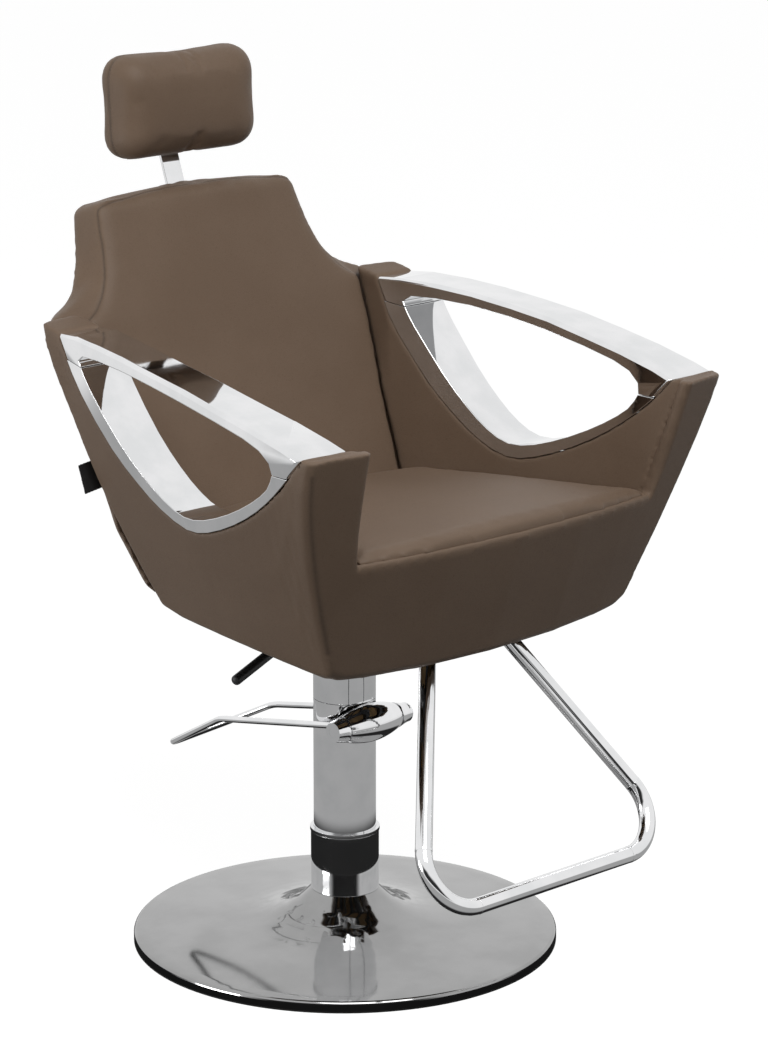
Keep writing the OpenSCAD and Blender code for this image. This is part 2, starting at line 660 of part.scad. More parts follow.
// The liner is a channel whose lips lie on both faces, with its sheet round the window
lip_proud = 0.5;
function arm_point(r, depth, side) =
  let (rim = [r[0], r[1]], edge = [r[2], r[3]], v = edge - rim, q = rim + v * (depth / norm(v)))
  [side < 0 ? x_in(q[0], q[1]) - lip_proud + (side == -1 ? 0 : liner_wall)
            : x_out(q[0], q[1]) + lip_proud - (side == 1 ? 0 : liner_wall), q[0], q[1]];
function lip_depth(r) = norm([r[2] - r[0], r[3] - r[1]]) - soft_gap;
function liner_loop(r) = let (e = lip_depth(r)) [
  arm_point(r, 0, -1), arm_point(r, e, -1), arm_point(r, e, -2), arm_point(r, liner_wall, -2),
  arm_point(r, liner_wall, 2), arm_point(r, e, 2), arm_point(r, e, 1), arm_point(r, 0, 1)];
module window_liner_left() {
  color(steel) flat_loft([for (r = liner_rows) liner_loop(r)]);
}
module window_liner_right() { mirror([1, 0, 0]) window_liner_left(); }
plate_edge = 4;
split_gap = 0.4;
function plate_loop(r) = let (e = lip_depth(r)) [
  arm_point(r, 0, -1), arm_point(r, e - plate_edge, -1), arm_point(r, e, -1) + [plate_edge, 0, 0],
  arm_point(r, e, 1) - [plate_edge, 0, 0], arm_point(r, e - plate_edge, 1), arm_point(r, 0, 1)];
plate_solid_rows = [for (i = [0 : len(plate_rows) - 1])
  i == 0 ? plate_rows[i] + [0, split_gap, 0, split_gap]
  : i == len(plate_rows) - 1 ? plate_rows[i] + [0, split_gap, 0, split_gap] : plate_rows[i]];
module arm_plate_left() {
  color(steel) flat_loft([for (r = plate_solid_rows) plate_loop(r)]);
}
module arm_plate_right() { mirror([1, 0, 0]) arm_plate_left(); }

// Brackets from the rails to the side panels
bracket_w = 30;
bracket_ys = [-170, -40];
bracket_h = 34;
module panel_brackets() {
  x0 = rail_x + rail_w / 2;
  color(frame_grey) both_sides() for (y = bracket_ys) {
    za = rail_z;
    zb = rail_z + bracket_h;
    flat_loft([for (yy = [y, y + bracket_w]) [
      [x0, yy, za], [x0, yy, zb], [x_in(yy, zb) - soft_gap, yy, zb],
      [x_in(yy, za) - soft_gap, yy, za]]]);
  }
}

// The seat cushion rolls over the front panel and narrows towards the backrest.
// Its sides keep clear of the side panels, and its rear end of the back cushion's crowned face.
cushion_low = board_z + board_t + soft_gap;
cushion_side_gap = 1;
cushion_round = 12;
cushion_tuck = 6;
cushion_roll = 2;
cushion_lip_shares = [0, 0.25, 0.6, 1, 1];
cushion_lip_step = 1;
lip_drop_shares = [0.9, 0.4, 0.1];
cushion_rows = 9;
cushion_across_shares = [-1, -0.82, -0.5, 0, 0.5, 0.82, 1];
cushion_under_shares = [-1, 0, 1];
cushion_mid_share = 0.55;
cushion_brow_share = 0.87;
seat_rear_h = seat_h - seat_fall;
lip_last = len(cushion_lip_shares) - 1;
cushion_last = lip_last + cushion_rows;
function seat_top(y) = mix(seat_h, seat_rear_h, share_of(y, y_front(0, seat_h), back_foot_y));
// Place along the cushion at station k: the bow of the front fades out towards the slanted rear end
function cushion_y(x, z, k) =
  let (t = max(0, k - lip_last) / cushion_rows,
    front = y_front(x * (1 - t), z), lip = front + front_t + 3 * soft_gap)
  k <= lip_last ? mix(front, lip, cushion_lip_shares[k]) + (k == lip_last ? cushion_lip_step : 0)
  : mix(lip, y_back(k == cushion_last ? z : seat_rear_h) - back_crown - cushion_side_gap, t);
function cushion_drop(k) = k < len(lip_drop_shares) ? lip_drop_shares[k] * cushion_round
  : k == cushion_last ? cushion_round * 0.6 : 0;
function cushion_half(z, k) =
  x_in(cushion_y(x_in(cushion_y(0, z, k), z), z, k), z) - cushion_side_gap;
function cushion_side(s, z, k, inset = 0) =
  let (x = cushion_half(z, k) - inset) [s * x, cushion_y(x, z, k), z];
function cushion_loop(k) =
  let (top = seat_top(cushion_y(0, seat_rear_h, k)) - cushion_drop(k),
    low = k < lip_last ? panel_top_h + 4 * soft_gap : cushion_low,
    tuck = k < lip_last ? cushion_tuck / 2 : cushion_tuck,
    low_half = cushion_half(low, k) - tuck, top_half = cushion_half(top, k) - cushion_round,
    mid = mix(low, top, cushion_mid_share), brow = mix(low, top, cushion_brow_share))
  concat(
    [for (u = cushion_under_shares) [u * low_half, cushion_y(u * low_half, low, k), low]],
    [cushion_side(1, mid, k), cushion_side(1, brow, k, cushion_roll)],
    [for (i = [len(cushion_across_shares) - 1 : -1 : 0])
      let (u = cushion_across_shares[i], x = u * top_half)
      [x, cushion_y(x, top, k), top + seat_crown * (1 - u * u)]],
    [cushion_side(-1, brow, k, cushion_roll), cushion_side(-1, mid, k)]);
module seat_cushion() {
  color(leather) loft([for (k = [0 : cushion_last]) cushion_loop(k)]);
}

/* The footrest */

foot_apex_y = -165;
foot_apex_z = 583;
foot_tilt = atan2(foot_y + foot_apex_y, foot_apex_z - foot_z);
foot_slope_len = norm([foot_y + foot_apex_y, foot_apex_z - foot_z]);
foot_arm_angle = atan2(foot_slope_len, -foot_w / 2);
foot_bend_cut = foot_bend_r * tan(foot_arm_angle / 2);
// The loop's ends stand in sockets under the seat frame's front cross member
socket_top_z = rail_z + rail_h - cross_h;
foot_end_drop = 11;
foot_top_z = socket_top_z - foot_end_drop;
foot_arm_len = norm([foot_w / 2, foot_slope_len]) * (foot_top_z - foot_z) / (foot_apex_z - foot_z);
module in_foot_plane() {
  translate([0, -foot_y, foot_z]) rotate([90 - foot_tilt, 0, 0]) children();
}
module foot_arm(from, to, d) {
  translate([foot_w / 2, 0, 0]) rotate([0, 0, foot_arm_angle]) translate([from, 0, 0])
    rotate([0, 90, 0]) cylinder(d = d, h = to - from, $fn = tube_fn);
}
// A quarter or more of a ring, cut out of the whole ring by a wedge
module foot_bend() {
  far = 4 * foot_bend_r;
  translate([foot_w / 2 - foot_bend_cut, foot_bend_r, 0]) intersection() {
    rotate_extrude($fn = fine_fn) translate([foot_bend_r, 0]) circle(d = foot_tube_d, $fn = tube_fn);
    translate([0, 0, -foot_tube_d]) linear_extrude(2 * foot_tube_d) polygon([
      [0, 0], [0, -far], [far, -far], [far, far * sin(foot_arm_angle - 90) / cos(foot_arm_angle - 90)]]);
  }
}
// Straights and bends stop just short of each other inside thin welded rings
foot_weld_gap = 0.2;
foot_weld_w = 3;
foot_weld_proud = 0.2;
foot_ring_d = foot_tube_d + 2 * foot_weld_proud;
module footrest_loop() {
  color(steel) in_foot_plane() {
    translate([-foot_w / 2 + foot_bend_cut + foot_weld_gap, 0, 0]) rotate([0, 90, 0])
      cylinder(d = foot_tube_d, h = foot_w - 2 * foot_bend_cut - 2 * foot_weld_gap, $fn = tube_fn);
    both_sides() {
      foot_bend();
      foot_arm(foot_bend_cut + foot_weld_gap, foot_arm_len, foot_tube_d);
      foot_arm(foot_bend_cut - foot_weld_w / 2, foot_bend_cut + foot_weld_w / 2, foot_ring_d);
      translate([foot_w / 2 - foot_bend_cut - foot_weld_w / 2, 0, 0]) rotate([0, 90, 0])
        cylinder(d = foot_ring_d, h = foot_weld_w, $fn = tube_fn);
    }
  }
}
socket_len = 46;
socket_block = [56, 54, 34];
socket_shift = [4.5, 3.8];
screw_d = 6;
screw_head_d = 11;
screw_head_h = 4;
screw_reach = 14;
// Where the middle of the arm on +X stands at a height
function foot_axis(z) = let (t = (z - foot_z) / (foot_apex_z - foot_z))
  [foot_w / 2 * (1 - t), -foot_y + (foot_y + foot_apex_y) * t];
socket_out_x = foot_axis(foot_top_z)[0] + socket_shift[0] + socket_block[0] / 2;
socket_mid_y = foot_axis(foot_top_z)[1] - socket_shift[1];
module footrest_sockets() {
  color(frame_grey) difference() {
    union() both_sides()
      translate([socket_out_x, socket_mid_y, socket_top_z]
          - [socket_block[0], socket_block[1] / 2, socket_block[2]])
        cube(socket_block);
    in_foot_plane() both_sides()
      foot_arm(foot_arm_len - 2 * socket_len, foot_arm_len + socket_len, foot_tube_d + 2 * run_gap);
    both_sides() socket_screw(screw_d + 2 * run_gap, screw_reach + cut);
  }
}
module socket_screw(d, len, from = 0) {
  z = socket_top_z - socket_block[2] / 2;
  translate([socket_out_x - screw_reach + from, foot_axis(z)[1], z]) rotate([0, 90, 0])
    cylinder(d = d, h = len, $fn = tube_fn);
}
module footrest_bolts() {
  color(steel) both_sides() {
    socket_screw(screw_d, screw_reach);
    socket_screw(screw_head_d, screw_head_h, screw_reach);
  }
}

/* The recline hinge, the gas spring and the lever */

hinge_y = 90;
hinge_z = 515;
hinge_x = rail_x;
pin_d = 12;
pin_head_d = 18;
pin_head_t = 3;
ear_t = 6;
ear_r = 16;
module at_hinge(x) { translate([x, hinge_y, hinge_z]) rotate([0, 90, 0]) children(); }
module hinge_brackets() {
  color(frame_grey) difference() {
    both_sides() {
      at_hinge(hinge_x) cylinder(r = ear_r, h = ear_t, $fn = fine_fn);
      translate([hinge_x, rail_rear_y, hinge_z - ear_r]) cube([ear_t, hinge_y - rail_rear_y, ear_r * 1.4]);
    }
    at_hinge(-hinge_x - ear_t - cut)
      cylinder(d = pin_d + 2 * run_gap, h = 2 * hinge_x + 2 * ear_t + 2 * cut, $fn = tube_fn);
  }
}
spring_x = -seat_w * 0.2155;
spring_drop = 40;
spring_z = hinge_z - spring_drop;
spring_d = 22;
spring_rod_d = 10;
spring_bore = 13;
spring_front_y = cross_front_y;
spring_tube_len = 200;
spring_end_t = 12;
spring_slot = 7.5;
spring_slack = 0.9;
spring_pin_d = 8;
spring_eye_t = 10;
spring_eye_r = 9;
spring_rod_in = 70;
module along_spring(y) { translate([spring_x, y, spring_z]) rotate([-90, 0, 0]) children(); }
module gas_spring_tube() {
  color(dark) difference() {
    union() {
      along_spring(spring_front_y) cylinder(d = spring_d, h = spring_tube_len, $fn = tube_fn);
      translate([spring_x - spring_d / 2, spring_front_y - spring_d / 2, spring_z - spring_d / 2])
        cube([spring_d, spring_d, rail_z + rail_h - cross_h - spring_z + spring_d / 2]);
    }
    along_spring(spring_front_y + spring_end_t)
      cylinder(d = spring_bore, h = spring_tube_len - 2 * spring_end_t, $fn = tube_fn);
    along_spring(spring_front_y + spring_end_t)
      cylinder(d = spring_rod_d + 2 * run_gap, h = spring_tube_len, $fn = tube_fn);
  }
}
// The rod ends in an eye with an upright slot, which the pin on the backrest's frame pushes
module gas_spring_rod() {
  y0 = spring_front_y + spring_tube_len - spring_rod_in;
  color(steel) difference() {
    union() {
      along_spring(y0) cylinder(d = spring_rod_d, h = hinge_y - y0 - spring_eye_r / 2, $fn = tube_fn);
      translate([spring_x - spring_eye_t / 2, hinge_y - spring_eye_r, spring_z - spring_eye_r])
        cube([spring_eye_t, 2 * spring_eye_r, 2 * spring_eye_r + spring_slot]);
    }
    for (z = [spring_z, spring_z + spring_slot])
      translate([spring_x - spring_eye_t, hinge_y, z]) rotate([0, 90, 0])
        cylinder(d = spring_pin_d + 2 * spring_slack, h = 2 * spring_eye_t, $fn = tube_fn);
    translate([spring_x - spring_eye_t, hinge_y - spring_pin_d / 2 - spring_slack, spring_z])
      cube([2 * spring_eye_t, spring_pin_d + 2 * spring_slack, spring_slot]);
  }
}
lever_y = -8;
lever_foot_x = -62;
lever_foot_z = 466;
lever_turn_x = -89;
lever_foot = [lever_foot_x, lever_y, lever_foot_z];
lever_tip = [-lever_reach, lever_y, lever_tip_z];
lever_turn_z = mix(lever_foot_z, lever_tip_z, (lever_foot_x - lever_turn_x) / (lever_foot_x + lever_reach));
lever_dir = (lever_tip - lever_foot) / norm(lever_tip - lever_foot);
lever_rod_d = 8;
lever_pin_d = 6;
lever_slot_w = 12;
block_w = 28;
block_h = 38;
block_d = 30;
grip_len = 88;
module lever_pin_line() {
  translate([lever_turn_x, lever_y - block_d / 2, lever_turn_z]) rotate([-90, 0, 0]) children();
}
module lever_block() {
  color(frame_grey) difference() {
    translate([-plate_w / 2 - block_w, lever_y - block_d / 2, rail_z - block_h])
      cube([block_w, block_d, block_h]);
    translate([-plate_w / 2 - block_w - cut, lever_y - lever_slot_w / 2, rail_z - block_h - cut])
      cube([block_w + 2 * cut, lever_slot_w, block_h + cut - plate_t]);
    translate([0, -cut, 0]) lever_pin_line()
      cylinder(d = lever_pin_d + 2 * run_gap, h = block_d + 2 * cut, $fn = tube_fn);
  }
}
module lever_rod() {
  color(steel) {
    bar(lever_foot, lever_tip - lever_dir * grip_len / 2, lever_rod_d);
    lever_pin_line() cylinder(d = lever_pin_d, h = block_d, $fn = tube_fn);
  }
}
// The grip is a moulded sleeve with a round end, drawn as half its section and spun on the rod's axis
grip_bore_r = lever_rod_d / 2 + run_gap;
grip_bore_len = grip_len / 2;
grip_mouth_r = grip_d / 8;
grip_end_r = grip_d * 0.4;
grip_steps = 8;
module lever_grip() {
  mouth = [for (i = [0 : grip_steps]) let (a = 90 * i / grip_steps)
    [grip_d / 2 - grip_mouth_r * (1 - sin(a)), grip_mouth_r * (1 - cos(a))]];
  tip = [for (i = [0 : grip_steps]) let (a = 90 * i / grip_steps)
    [grip_d / 2 - grip_end_r * (1 - cos(a)), grip_len - grip_end_r * (1 - sin(a))]];
  color(dark) translate(lever_tip - lever_dir * grip_len)
    rotate([0, acos(lever_dir[2]), atan2(lever_dir[1], lever_dir[0])])
      rotate_extrude($fn = tube_fn)
        polygon(concat([[0, grip_bore_len], [grip_bore_r, grip_bore_len], [grip_bore_r, 0]], mouth, tip,
          [[0, grip_len]]));
}

/* The backrest */

// Above the shoulders the half width follows rows of
// [share of the height from the armrest's end to the back's corner, share of the shoulder's half width]
back_side_gap = 2.5;
shoulder_drop = 11;
shoulder_h = arm_top_h - shoulder_drop;
shoulder_half = x_in(y_back(shoulder_h) + wing_in_gap, shoulder_h) - back_side_gap;
back_shares = [[-0.03, 1], [0.045, 0.92], [0.16, 0.85], [0.23, 0.82],
  [0.309, 0.8], [0.388, 0.78], [0.547, 0.758], [0.784, 0.736], [0.95, 0.716], [1, 0.69]];
function above_share(z) = (z - arm_top_h) / (back_top_h - arm_top_h);
function back_half(z) = z <= shoulder_h ? x_in(y_back(z) + wing_in_gap, z) - back_side_gap
  : shoulder_half * table_at(back_shares, above_share(z));
// The shell flares out behind the armrests to a tip in line with the cushion's rear face:
// rows of [share of the height, share of the tip's inset from the armrest's outer face]
shell_tip_in = 27;
shell_tip_shares = [[0, 0.1], [0.23, 0.1], [0.38, 0.3], [0.56, 0.9], [1, 1]];
// Above the armrests the flare runs out, by rows of [share of the height, share of the shoulder's half width]
flare_shares = [[-0.082, 0.188], [-0.03, 0.182], [0.015, 0.195], [0.067, 0.17], [0.112, 0.121],
  [0.194, 0.085], [0.321, 0.028], [0.463, 0.022], [0.612, 0.016], [0.761, 0.01], [0.91, 0.004], [1, 0]];
// Behind the tip the sides close in again, by rows of [share of the height, inset as a share of the depth]
close_shares = [[-0.082, 0.8], [-0.03, 0.95], [0.015, 0.95], [0.067, 0.8], [0.112, 0.45],
  [0.194, 0.2], [0.321, -0.23], [0.463, -0.18], [0.612, -0.13], [0.761, -0.08], [0.91, -0.03], [1, 0]];
// The cushion flares only above the side panels' upper edge
flare_start = 15;
flare_rise = [5, 24];
cushion_flare_rise = 7;
function shell_flare(z) = z <= shoulder_h ? x_out(y_back(z), z) - back_half(z)
    - shell_tip_in * table_at(shell_tip_shares, share_of(z, back_shell_low_z, shoulder_h))
  : shoulder_half * table_at(flare_shares, above_share(z));
function cushion_flare(z) = shell_flare(z) * share_of(z, shoulder_h, shoulder_h + cushion_flare_rise);
function flare_start_at(z) = flare_start
  * (1 - share_of(z, arm_top_h + flare_rise[0], arm_top_h + flare_rise[1]));
function cushion_side_x(z, o) = back_half(z)
  + cushion_flare(z) * share_of(o, flare_start_at(z), back_cushion_t);
function shell_side_x(z, o) = back_half(z) + shell_flare(z)
  - max(0, o - back_cushion_t) * table_at(close_shares, above_share(z));
back_crown = 8;
back_low_z = 578;
back_shell_low_z = 509;
back_end_round = 6;
back_side_round = 7;
shell_round = 10;
back_fall_share = 0.22;
back_low_shares = [0, 0.03, 0.25, 0.45, 0.65, 0.84, 1];
back_high_shares = [-0.03, 0.015, 0.067, 0.112, 0.194, 0.321, 0.463, 0.612, 0.761, 0.95, 1];
back_high_zs = [for (s = back_high_shares) mix(arm_top_h, back_top_h, s)];
back_cushion_zs = concat([for (s = back_low_shares) mix(back_low_z, shoulder_h, s)], back_high_zs);
back_shell_zs = concat([for (s = back_low_shares) mix(back_shell_low_z, shoulder_h, s)], back_high_zs);
function arch(x, z) = back_arch * share_of(z, arm_top_h, back_top_h) * (1 - pow(x / shoulder_half, 2));
// The upper edge falls towards the rear
function back_point(x, z, o) =
  let (h = z + arch(x, z) - o * back_fall_share * share_of(z, arm_top_h, back_top_h)) [x, y_back(h) + o, h];
back_across_shares = [-1, -0.55, 0, 0.55, 1];
function cushion_side_point(s, z, o) = back_point(s * cushion_side_x(z, o), z, o);
function back_cushion_loop(z) =
  let (h = back_half(z), r = back_side_round, end = z == back_low_z || z == back_top_h,
    e = end ? back_end_round : 0, c = end ? 0 : back_crown)
  concat(
    [for (u = back_across_shares) back_point(u * (h - r), z, e - c * (1 - u * u))],
    [back_point(h - r * 0.3, z, e + r * 0.3)],
    [for (o = [e + r, flare_start, back_cushion_t]) cushion_side_point(1, z, o)],
    [back_point(0, z, back_cushion_t)],
    [for (o = [back_cushion_t, flare_start, e + r]) cushion_side_point(-1, z, o)],
    [back_point(-h + r * 0.3, z, e + r * 0.3)]);
module back_cushion() {
  color(leather) loft([for (z = back_cushion_zs) back_cushion_loop(z)]);
}
shell_front_o = back_cushion_t + soft_gap;
shell_rear_o = back_cushion_t + back_shell_t;
function shell_side_point(s, z, o, inset) = back_point(s * (shell_side_x(z, o) - inset), z, o);
function back_shell_loop(z) =
  let (e = (z == back_shell_low_z || z == back_top_h) ? back_end_round : 0, o = shell_front_o,
    r = shell_rear_o - e, g = shell_round)
  [shell_side_point(-1, z, o, e), back_point(0, z, o), shell_side_point(1, z, o, e),
   shell_side_point(1, z, r - g, e), shell_side_point(1, z, r - g * 0.3, e + g * 0.3),
   shell_side_point(1, z, r, e + g), back_point(0, z, r), shell_side_point(-1, z, r, e + g),
   shell_side_point(-1, z, r - g * 0.3, e + g * 0.3), shell_side_point(-1, z, r - g, e)];
module back_shell() {
  color(leather) difference() {
    loft([for (z = back_shell_zs) back_shell_loop(z)]);
    frame_shape(soft_gap);
    socket_pocket();
    tab_shape(soft_gap);
  }
}

// The backrest's frame lies in grooves in the shell, with an arm at each side down to the hinge
frame_t = 8;
arm_t = 6;
arm_r = 14;
frame_strip_w = 34;
frame_top_z = 880;
frame_low_z = 548;
frame_cross_rise = 8;
frame_cross_top_drop = 40;
arm_x = hinge_x - arm_t - 2 * run_gap;
strip_short = 0.5;
strip_x = arm_x + arm_t - strip_short - frame_strip_w;
spring_arm_x = spring_x + spring_eye_t / 2 + soft_gap;
function slope_len(za, zb) = (zb - za) / cos(back_lean);
module on_back(z, o) { translate([0, y_back(z) + o, z]) rotate([-back_lean, 0, 0]) children(); }
module frame_shape(g) {
  on_back(frame_low_z, shell_front_o) {
    both_sides() translate([strip_x - g, -cut * g, -g])
      cube([frame_strip_w + 2 * g, frame_t + g + cut * g, slope_len(frame_low_z, frame_top_z) + 2 * g]);
    for (rise = [frame_cross_rise, slope_len(frame_low_z, frame_top_z) - frame_cross_top_drop])
      translate([-strip_x, -cut * g, rise - g])
        cube([2 * strip_x, frame_t + g + cut * g, frame_strip_w + 2 * g]);
  }
  both_sides() hinge_arm(arm_x, hinge_z, g);
  hinge_arm(spring_arm_x, spring_z, g);
}
// A flat arm from a pin up into the frame's thickness
arm_root_rise = 8;
arm_root_h = 26;
module hinge_arm(x, pin_z, g) {
  low = frame_low_z + frame_cross_rise + arm_root_rise;
  top = frame_low_z + arm_root_h;
  translate([x - g, 0, 0]) {
    translate([0, hinge_y, pin_z]) rotate([0, 90, 0])
      cylinder(r = arm_r + g, h = arm_t + 2 * g, $fn = fine_fn);
    rotate([90, 0, 90]) linear_extrude(arm_t + 2 * g) polygon([
      [hinge_y - (arm_r + g) * 0.9, pin_z], [hinge_y, pin_z - arm_r * 0.5],
      [hinge_y + (arm_r + g) * 0.9, pin_z],
      [y_back(low) + shell_front_o + frame_t * 0.75, low],
      [y_back(top) + shell_front_o + frame_t * 0.4, top]]);
  }
}
module back_frame() {
  color(frame_grey) difference() {
    frame_shape(0);
    at_hinge(-hinge_x) cylinder(d = pin_d + 2 * run_gap, h = 2 * hinge_x, $fn = tube_fn);
    translate([spring_arm_x - cut, hinge_y, spring_z]) rotate([0, 90, 0])
      cylinder(d = spring_pin_d + 2 * run_gap, h = arm_t + 2 * cut, $fn = tube_fn);
  }
}
module hinge_pins() {
  color(steel) {
    both_sides() {
      at_hinge(arm_x) cylinder(d = pin_d, h = hinge_x + ear_t - arm_x, $fn = tube_fn);
      at_hinge(hinge_x + ear_t) cylinder(d = pin_head_d, h = pin_head_t, $fn = tube_fn);
      at_hinge(arm_x - pin_head_t) cylinder(d = pin_head_d, h = pin_head_t, $fn = tube_fn);
    }
    translate([spring_x - spring_eye_t / 2, hinge_y, spring_z]) rotate([0, 90, 0])
      cylinder(d = spring_pin_d, h = spring_arm_x + arm_t - spring_x + spring_eye_t / 2, $fn = tube_fn);
  }
}

/* The headrest */

bar_lean = 19;
bar_set_back = 42;
socket_wall_w = 6;
socket_wall_t = 4;
socket_h = 80;
socket_sink = 16;
bar_in = 110;
head_down = 40;
bar_pocket_gap = 1.5;
bar_end_room = 4;
bar_top_rise = 68;
edge_top_h = back_top_h + back_arch;
module on_bar(t = 0) {
  translate([0, y_back(edge_top_h) + bar_set_back, edge_top_h]) rotate([-bar_lean, 0, 0])
    translate([0, 0, t]) children();
}
module socket_body(g) {
  translate([-bar_w / 2 - socket_wall_w - g, -bar_t / 2 - socket_wall_t - g, -socket_h - g])
    cube([bar_w + 2 * socket_wall_w + 2 * g, bar_t + 2 * socket_wall_t + 2 * g,
      socket_h - socket_sink + 2 * g]);
}
module bar_room(g, below) {
  translate([-bar_w / 2 - g, -bar_t / 2 - g, -below])
    cube([bar_w + 2 * g, bar_t + 2 * g, below + socket_h]);
}
module socket_pocket() {
  on_bar() socket_body(soft_gap);
  on_bar() bar_room(bar_pocket_gap, bar_in + head_down + bar_end_room);
}
module headrest_socket() {
  color(dark) on_bar() difference() {
    socket_body(0);
    bar_room(run_gap, socket_h + cut);
  }
}
module headrest_bar() {
  color(steel) on_bar() translate([-bar_w / 2, -bar_t / 2, -bar_in])
    cube([bar_w, bar_t, bar_in + bar_top_rise]);
}
head_lean = 3;
head_y = 325;
head_r = 42;
head_waist = 4;
head_board_t = 8;
head_board_in = 16;
// Rows from the rear to the crowned front:
// [share of the thickness, inset as a share of the corner's radius]
head_shares = [[0, 0.32], [0.06, 0.07], [0.24, 0], [0.45, 0.01], [0.64, 0.09], [0.78, 0.22], [0.88, 0.4],
  [0.94, 0.62], [0.98, 1], [1, 1.5]];
head_corner_steps = 5;
function head_corner(k, r) = [for (a = [0 : head_corner_steps])
  r * [cos(k * 90 + a * 90 / head_corner_steps), sin(k * 90 + a * 90 / head_corner_steps)]];
head_corners = [[1, 1], [-1, 1], [-1, -1], [1, -1]];
function head_outline(inset) =
  let (r = max(head_r - inset, head_r / 8), w = head_w / 2 - inset - r, h = head_h / 2 - inset - r)
  [for (k = [0 : 3]) for (p = head_corner(k, r)) [head_corners[k][0] * w, head_corners[k][1] * h] + p];
function head_point(p, d) =
  let (u = 2 * p[0] / head_w, v = 2 * p[1] / head_h)
  [p[0], d - head_t / 2, p[1] - head_waist * v * (1 - u * u)];
module at_head() { translate([0, head_y, head_z]) rotate([-head_lean, 0, 0]) children(); }
module headrest_pad() {
  color(leather) at_head() difference() {
    loft([for (row = head_shares)
      [for (p = head_outline(row[1] * head_r)) head_point(p, head_t * (1 - row[0]))]]);
    board_solid(soft_gap, head_board_t + soft_gap, cut);
  }
}
module board_solid(g, t, over) {
  translate([-head_w / 2 + head_board_in + head_r / 2 - g, head_t / 2 - t, -head_h / 2 + head_board_in - g])
    cube([head_w - 2 * head_board_in - head_r + 2 * g, t + over, head_h - 2 * head_board_in + 2 * g]);
}
module headrest_board() { color(plywood) at_head() board_solid(0, head_board_t, 0); }
bracket_plate_w = 70;
bracket_plate_h = 50;
bracket_plate_t = 3;
bracket_wall = 2.5;
bracket_front = 12;
bracket_low = 38;
// A plate on the board and a sleeve round the bar's end, both cut off at the pad's rear face
module headrest_bracket() {
  color(dark) difference() {
    union() {
      at_head() translate([-bracket_plate_w / 2, head_t / 2 - cut, -bracket_plate_h])
        cube([bracket_plate_w, bracket_plate_t + cut, bracket_plate_h]);
      on_bar(bracket_low) translate([-bar_w / 2 - bracket_wall, -bar_t / 2 - bracket_front, 0])
        cube([bar_w + 2 * bracket_wall, bar_t + bracket_front + bracket_wall, bar_top_rise - bracket_low]);
    }
    on_bar() translate([0, 0, bracket_low - cut]) bar_room(run_gap, 0);
    at_head() translate([-head_w, -head_t / 2, -head_h]) cube([2 * head_w, head_t, 2 * head_h]);
  }
}

/* The fabric tab in the shell's side */

tab_w = 25;
tab_h = 36;
tab_t = 1.5;
tab_droop = 4.5;
tab_low_z = 648;
tab_in = 6;
tab_behind = 7;
module tab_shape(g) {
  flat_loft([for (z = [tab_low_z - g, tab_low_z + tab_h + g])
    let (o = shell_front_o + tab_behind, x = shell_side_x(z, o) - tab_in - g, far = x + tab_in + tab_w,
      y = y_back(z) + o - g, t = tab_t + 2 * g)
    [[-x, y, z], [-x, y + t, z], [-far, y + t, z - tab_droop], [-far, y, z - tab_droop]]]);
}
module side_tab() { color(dark) tab_shape(0); }

base_cover();
weight_plate();
floor_pad();
column_flange();
flange_bolts();
pump_cylinder();
column_collar();
collar_ring();
guide_bush();
pump_head();
pump_end_cap();
pedal_shaft();
pedal_loop();
pump_plunger();
lift_rod();
rod_piston();
column_sleeve();
swivel_cone();
swivel_plate();
plate_bolts();
seat_frame();
seat_board();
seat_cushion();
front_panel();
side_panel_right();
side_panel_left();
window_liner_right();
window_liner_left();
arm_plate_right();
arm_plate_left();
panel_brackets();
footrest_loop();
footrest_sockets();
footrest_bolts();
gas_spring_tube();
hinge_brackets();
lever_block();
lever_rod();
lever_grip();
gas_spring_rod();
back_frame();
hinge_pins();
back_cushion();
back_shell();
headrest_socket();
side_tab();
headrest_bar();
headrest_bracket();
headrest_board();
headrest_pad();
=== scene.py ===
import math

import bmesh
import bpy
from mathutils import Matrix, Vector
from mathutils.kdtree import KDTree


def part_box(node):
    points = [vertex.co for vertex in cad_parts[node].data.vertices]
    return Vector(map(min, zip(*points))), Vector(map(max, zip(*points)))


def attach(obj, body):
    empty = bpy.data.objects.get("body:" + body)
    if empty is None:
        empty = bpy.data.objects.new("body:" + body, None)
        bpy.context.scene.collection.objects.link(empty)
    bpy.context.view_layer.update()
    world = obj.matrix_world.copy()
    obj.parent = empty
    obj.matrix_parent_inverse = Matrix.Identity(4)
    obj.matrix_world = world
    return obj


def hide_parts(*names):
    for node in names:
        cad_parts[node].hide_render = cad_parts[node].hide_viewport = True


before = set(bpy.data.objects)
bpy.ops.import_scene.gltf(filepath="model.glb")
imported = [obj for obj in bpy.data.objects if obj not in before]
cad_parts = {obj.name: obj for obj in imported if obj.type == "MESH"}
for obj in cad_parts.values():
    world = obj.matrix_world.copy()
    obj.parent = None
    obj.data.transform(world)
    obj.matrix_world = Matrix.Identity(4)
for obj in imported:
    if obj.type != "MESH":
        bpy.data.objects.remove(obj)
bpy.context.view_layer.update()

# The camera stands where the photographer stood: in front, to the sitter's right and a little
# above the armrests, far enough away for a long lens.
view_place = Vector((-3.3397, -3.5969, 1.8644))
view_turn = math.radians(-43.5)
view_fall = math.radians(14.61)
view_lens = 130.7
film_width = 36
bpy.ops.object.camera_add(location=view_place, rotation=(math.radians(90) - view_fall, 0, view_turn))
camera = bpy.context.object
camera.data.lens = view_lens
camera.data.sensor_width = film_width
bpy.context.scene.camera = camera
bpy.context.scene.view_settings.view_transform = "Standard"
